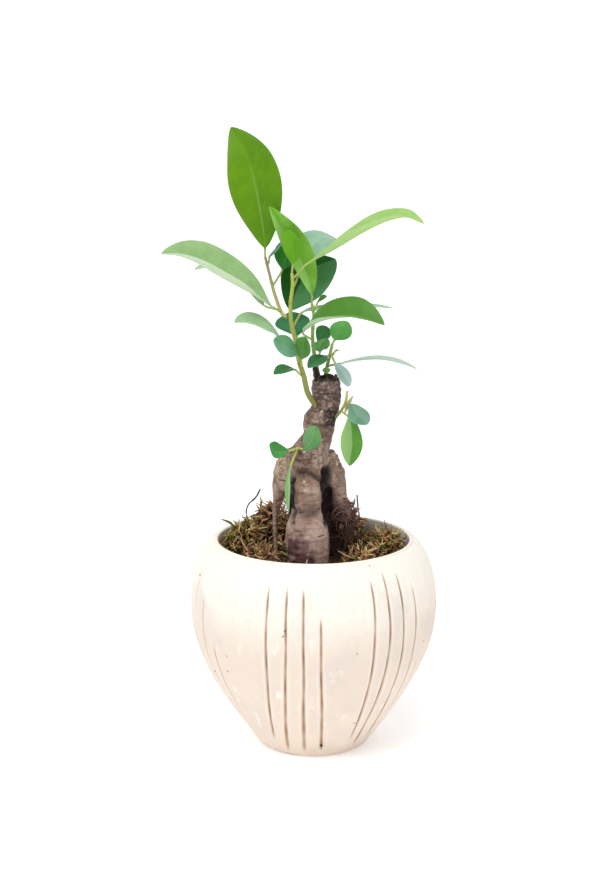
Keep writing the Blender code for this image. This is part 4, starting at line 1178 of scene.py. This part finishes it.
def make_leaf(name, node, finish, seed):
    """A closed loop of points carried from the stalk's foot to the blade's tip.

    Across a row the loop goes over the face and back under. A blade's row bends from the
    midrib to each edge, with a shallow groove above the midrib and a rib below it.
    """
    left, top, right, bottom = np.moveaxis(leaf_sections(node), 1, 0)
    middle = (top + bottom) / 2
    face = (top - bottom) / np.linalg.norm(top - bottom, axis=1, keepdims=True)
    reach = np.concatenate([[-1.0, -0.5], np.arccos(1 - 2 * LEAF_SHARES) / np.pi])
    first = middle[0] - middle[1]
    start = middle[0] + first / np.linalg.norm(first) * STALK_SUNK
    at = np.concatenate([np.linspace(-1, 0, STALK_ROWS, endpoint=False),
                         np.linspace(0, 1, LEAF_ROWS)])
    spine, face = (through(reach, rows, at) for rows in (middle, face))
    spine = np.vstack([start, spine])
    face = np.vstack([face[:1], face])
    at = np.concatenate([[-1.1], at])
    halves = leaf_halves(node, middle, (left, right), reach, at, face)
    blade = smooth_step(at, -0.02, 0.09)[:, None]
    tip = smooth_step(-at, -1.0, -0.93)[:, None] * 0.92 + 0.08
    turn = np.linspace(0, 2 * np.pi, LEAF_LOOP, endpoint=False) + 1e-4
    across, over = np.cos(turn), np.sin(turn)
    wide = np.sign(across) * np.abs(across) ** 0.8
    out = np.abs(wide)
    edge = np.where((across > 0)[None, :, None], halves[1][:, None], halves[0][:, None])
    size = np.linalg.norm(edge, axis=2)
    flat = edge * (out[None, :, None] * tip[:, None])
    round_way = edge / (size[..., None] + 1e-9) * STALK_RADIUS * np.abs(across)[None, :, None]
    body = blade[:, None] * flat + (1 - blade[:, None]) * round_way
    thick = BLADE_HALF_THICK * (1 - out ** 6) ** 0.5 * np.sign(over) + 0.02 * over
    rib = np.exp(-(out * size / RIB_HALF) ** 2)
    under = (over < 0)[None]
    rise = thick[None] - RIB_GROOVE * rib * ~under
    rise -= RIB_BELOW * rib * under * (1.05 - np.clip(at, 0, 1))[:, None]
    arch = ARCH * size * np.sin(np.pi * out)[None]
    wave = np.sin(at[:, None] * 17 + seed + 1.3 * np.sign(across)[None])
    rise = rise * tip + arch + RIPPLE * size * out[None] ** 2 * wave
    lift = blade * rise + (1 - blade) * STALK_RADIUS * over[None]
    points = spine[:, None] + body + face[:, None] * lift[..., None]
    values = {"across": np.broadcast_to(wide, lift.shape),
              "reach": np.broadcast_to(at[:, None], lift.shape),
              "upper": np.broadcast_to(~under, lift.shape)}
    return grid_piece(name, points, finish, around=True, values=values)


def toned(levels, gain, more):
    """Display levels scaled and raised, up to white."""
    return [min(255, gain * level + more) for level in levels]


def leaf_finish(name, left, right, below, tip):
    """Wax over green: a tone for each half, painting one half lit and the other shaded, a pale midrib, side
    veins, and a paler underside.
    """
    wax, place = new_finish(name + " blade", {"Specular IOR Level": 0.2})
    across, reach, upper = (spread(place, n) for n in ("across", "reach", "upper"))
    side = across.math("ABSOLUTE")
    cloudy = place.noise(160.0, 3.0)
    pale = toned(left, 0.6, 90)
    vein = (reach * 15.0 - side * 2.6).math("PINGPONG", 0.5).rise(0.46, 0.5)
    midrib = side.rise(0.085, 0.02) * reach.rise(0.8, 0.25)
    colour = coated(
        # the halves' tones, painted as the lit and the shaded side of the fold
        across.rise(-0.03, 0.03).blend(srgb(*left), srgb(*right)),
        (cloudy.rise(0.3, 0.75) * 0.22, toned(left, 1.18, 12)),
        (vein * 0.16 * side.rise(0.0, 0.2), pale),
        (reach.rise(0.86, 1.0) * 0.6, tip),
        (midrib * 0.45, pale),
        (side.rise(0.955, 1.0) * 0.4, pale),
    )
    under = coated(srgb(*below), (midrib * 0.6, toned(below, 0.7, 78)), (vein * 0.2, pale))
    colour = upper.rise(0.4, 0.6).blend(under, colour)
    colour = coated(colour, (reach.rise(0.05, -0.03), (172, 184, 96)))
    relief = vein * -0.25 + cloudy * 0.4
    feed(wax, colour, 0.38 + 0.16 * cloudy + 0.22 * (1 - upper), relief, depth=0.08)
    return wax


for seed, (node, (leaf_slot, left, right, below, tip)) in enumerate(LEAF_LOOKS.items()):
    finish = leaf_finish(node, left, right, below, tip)
    leaf = make_leaf(node.replace("leaf", "blade"), node, finish, seed)
    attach(leaf, "root")
    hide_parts(node)
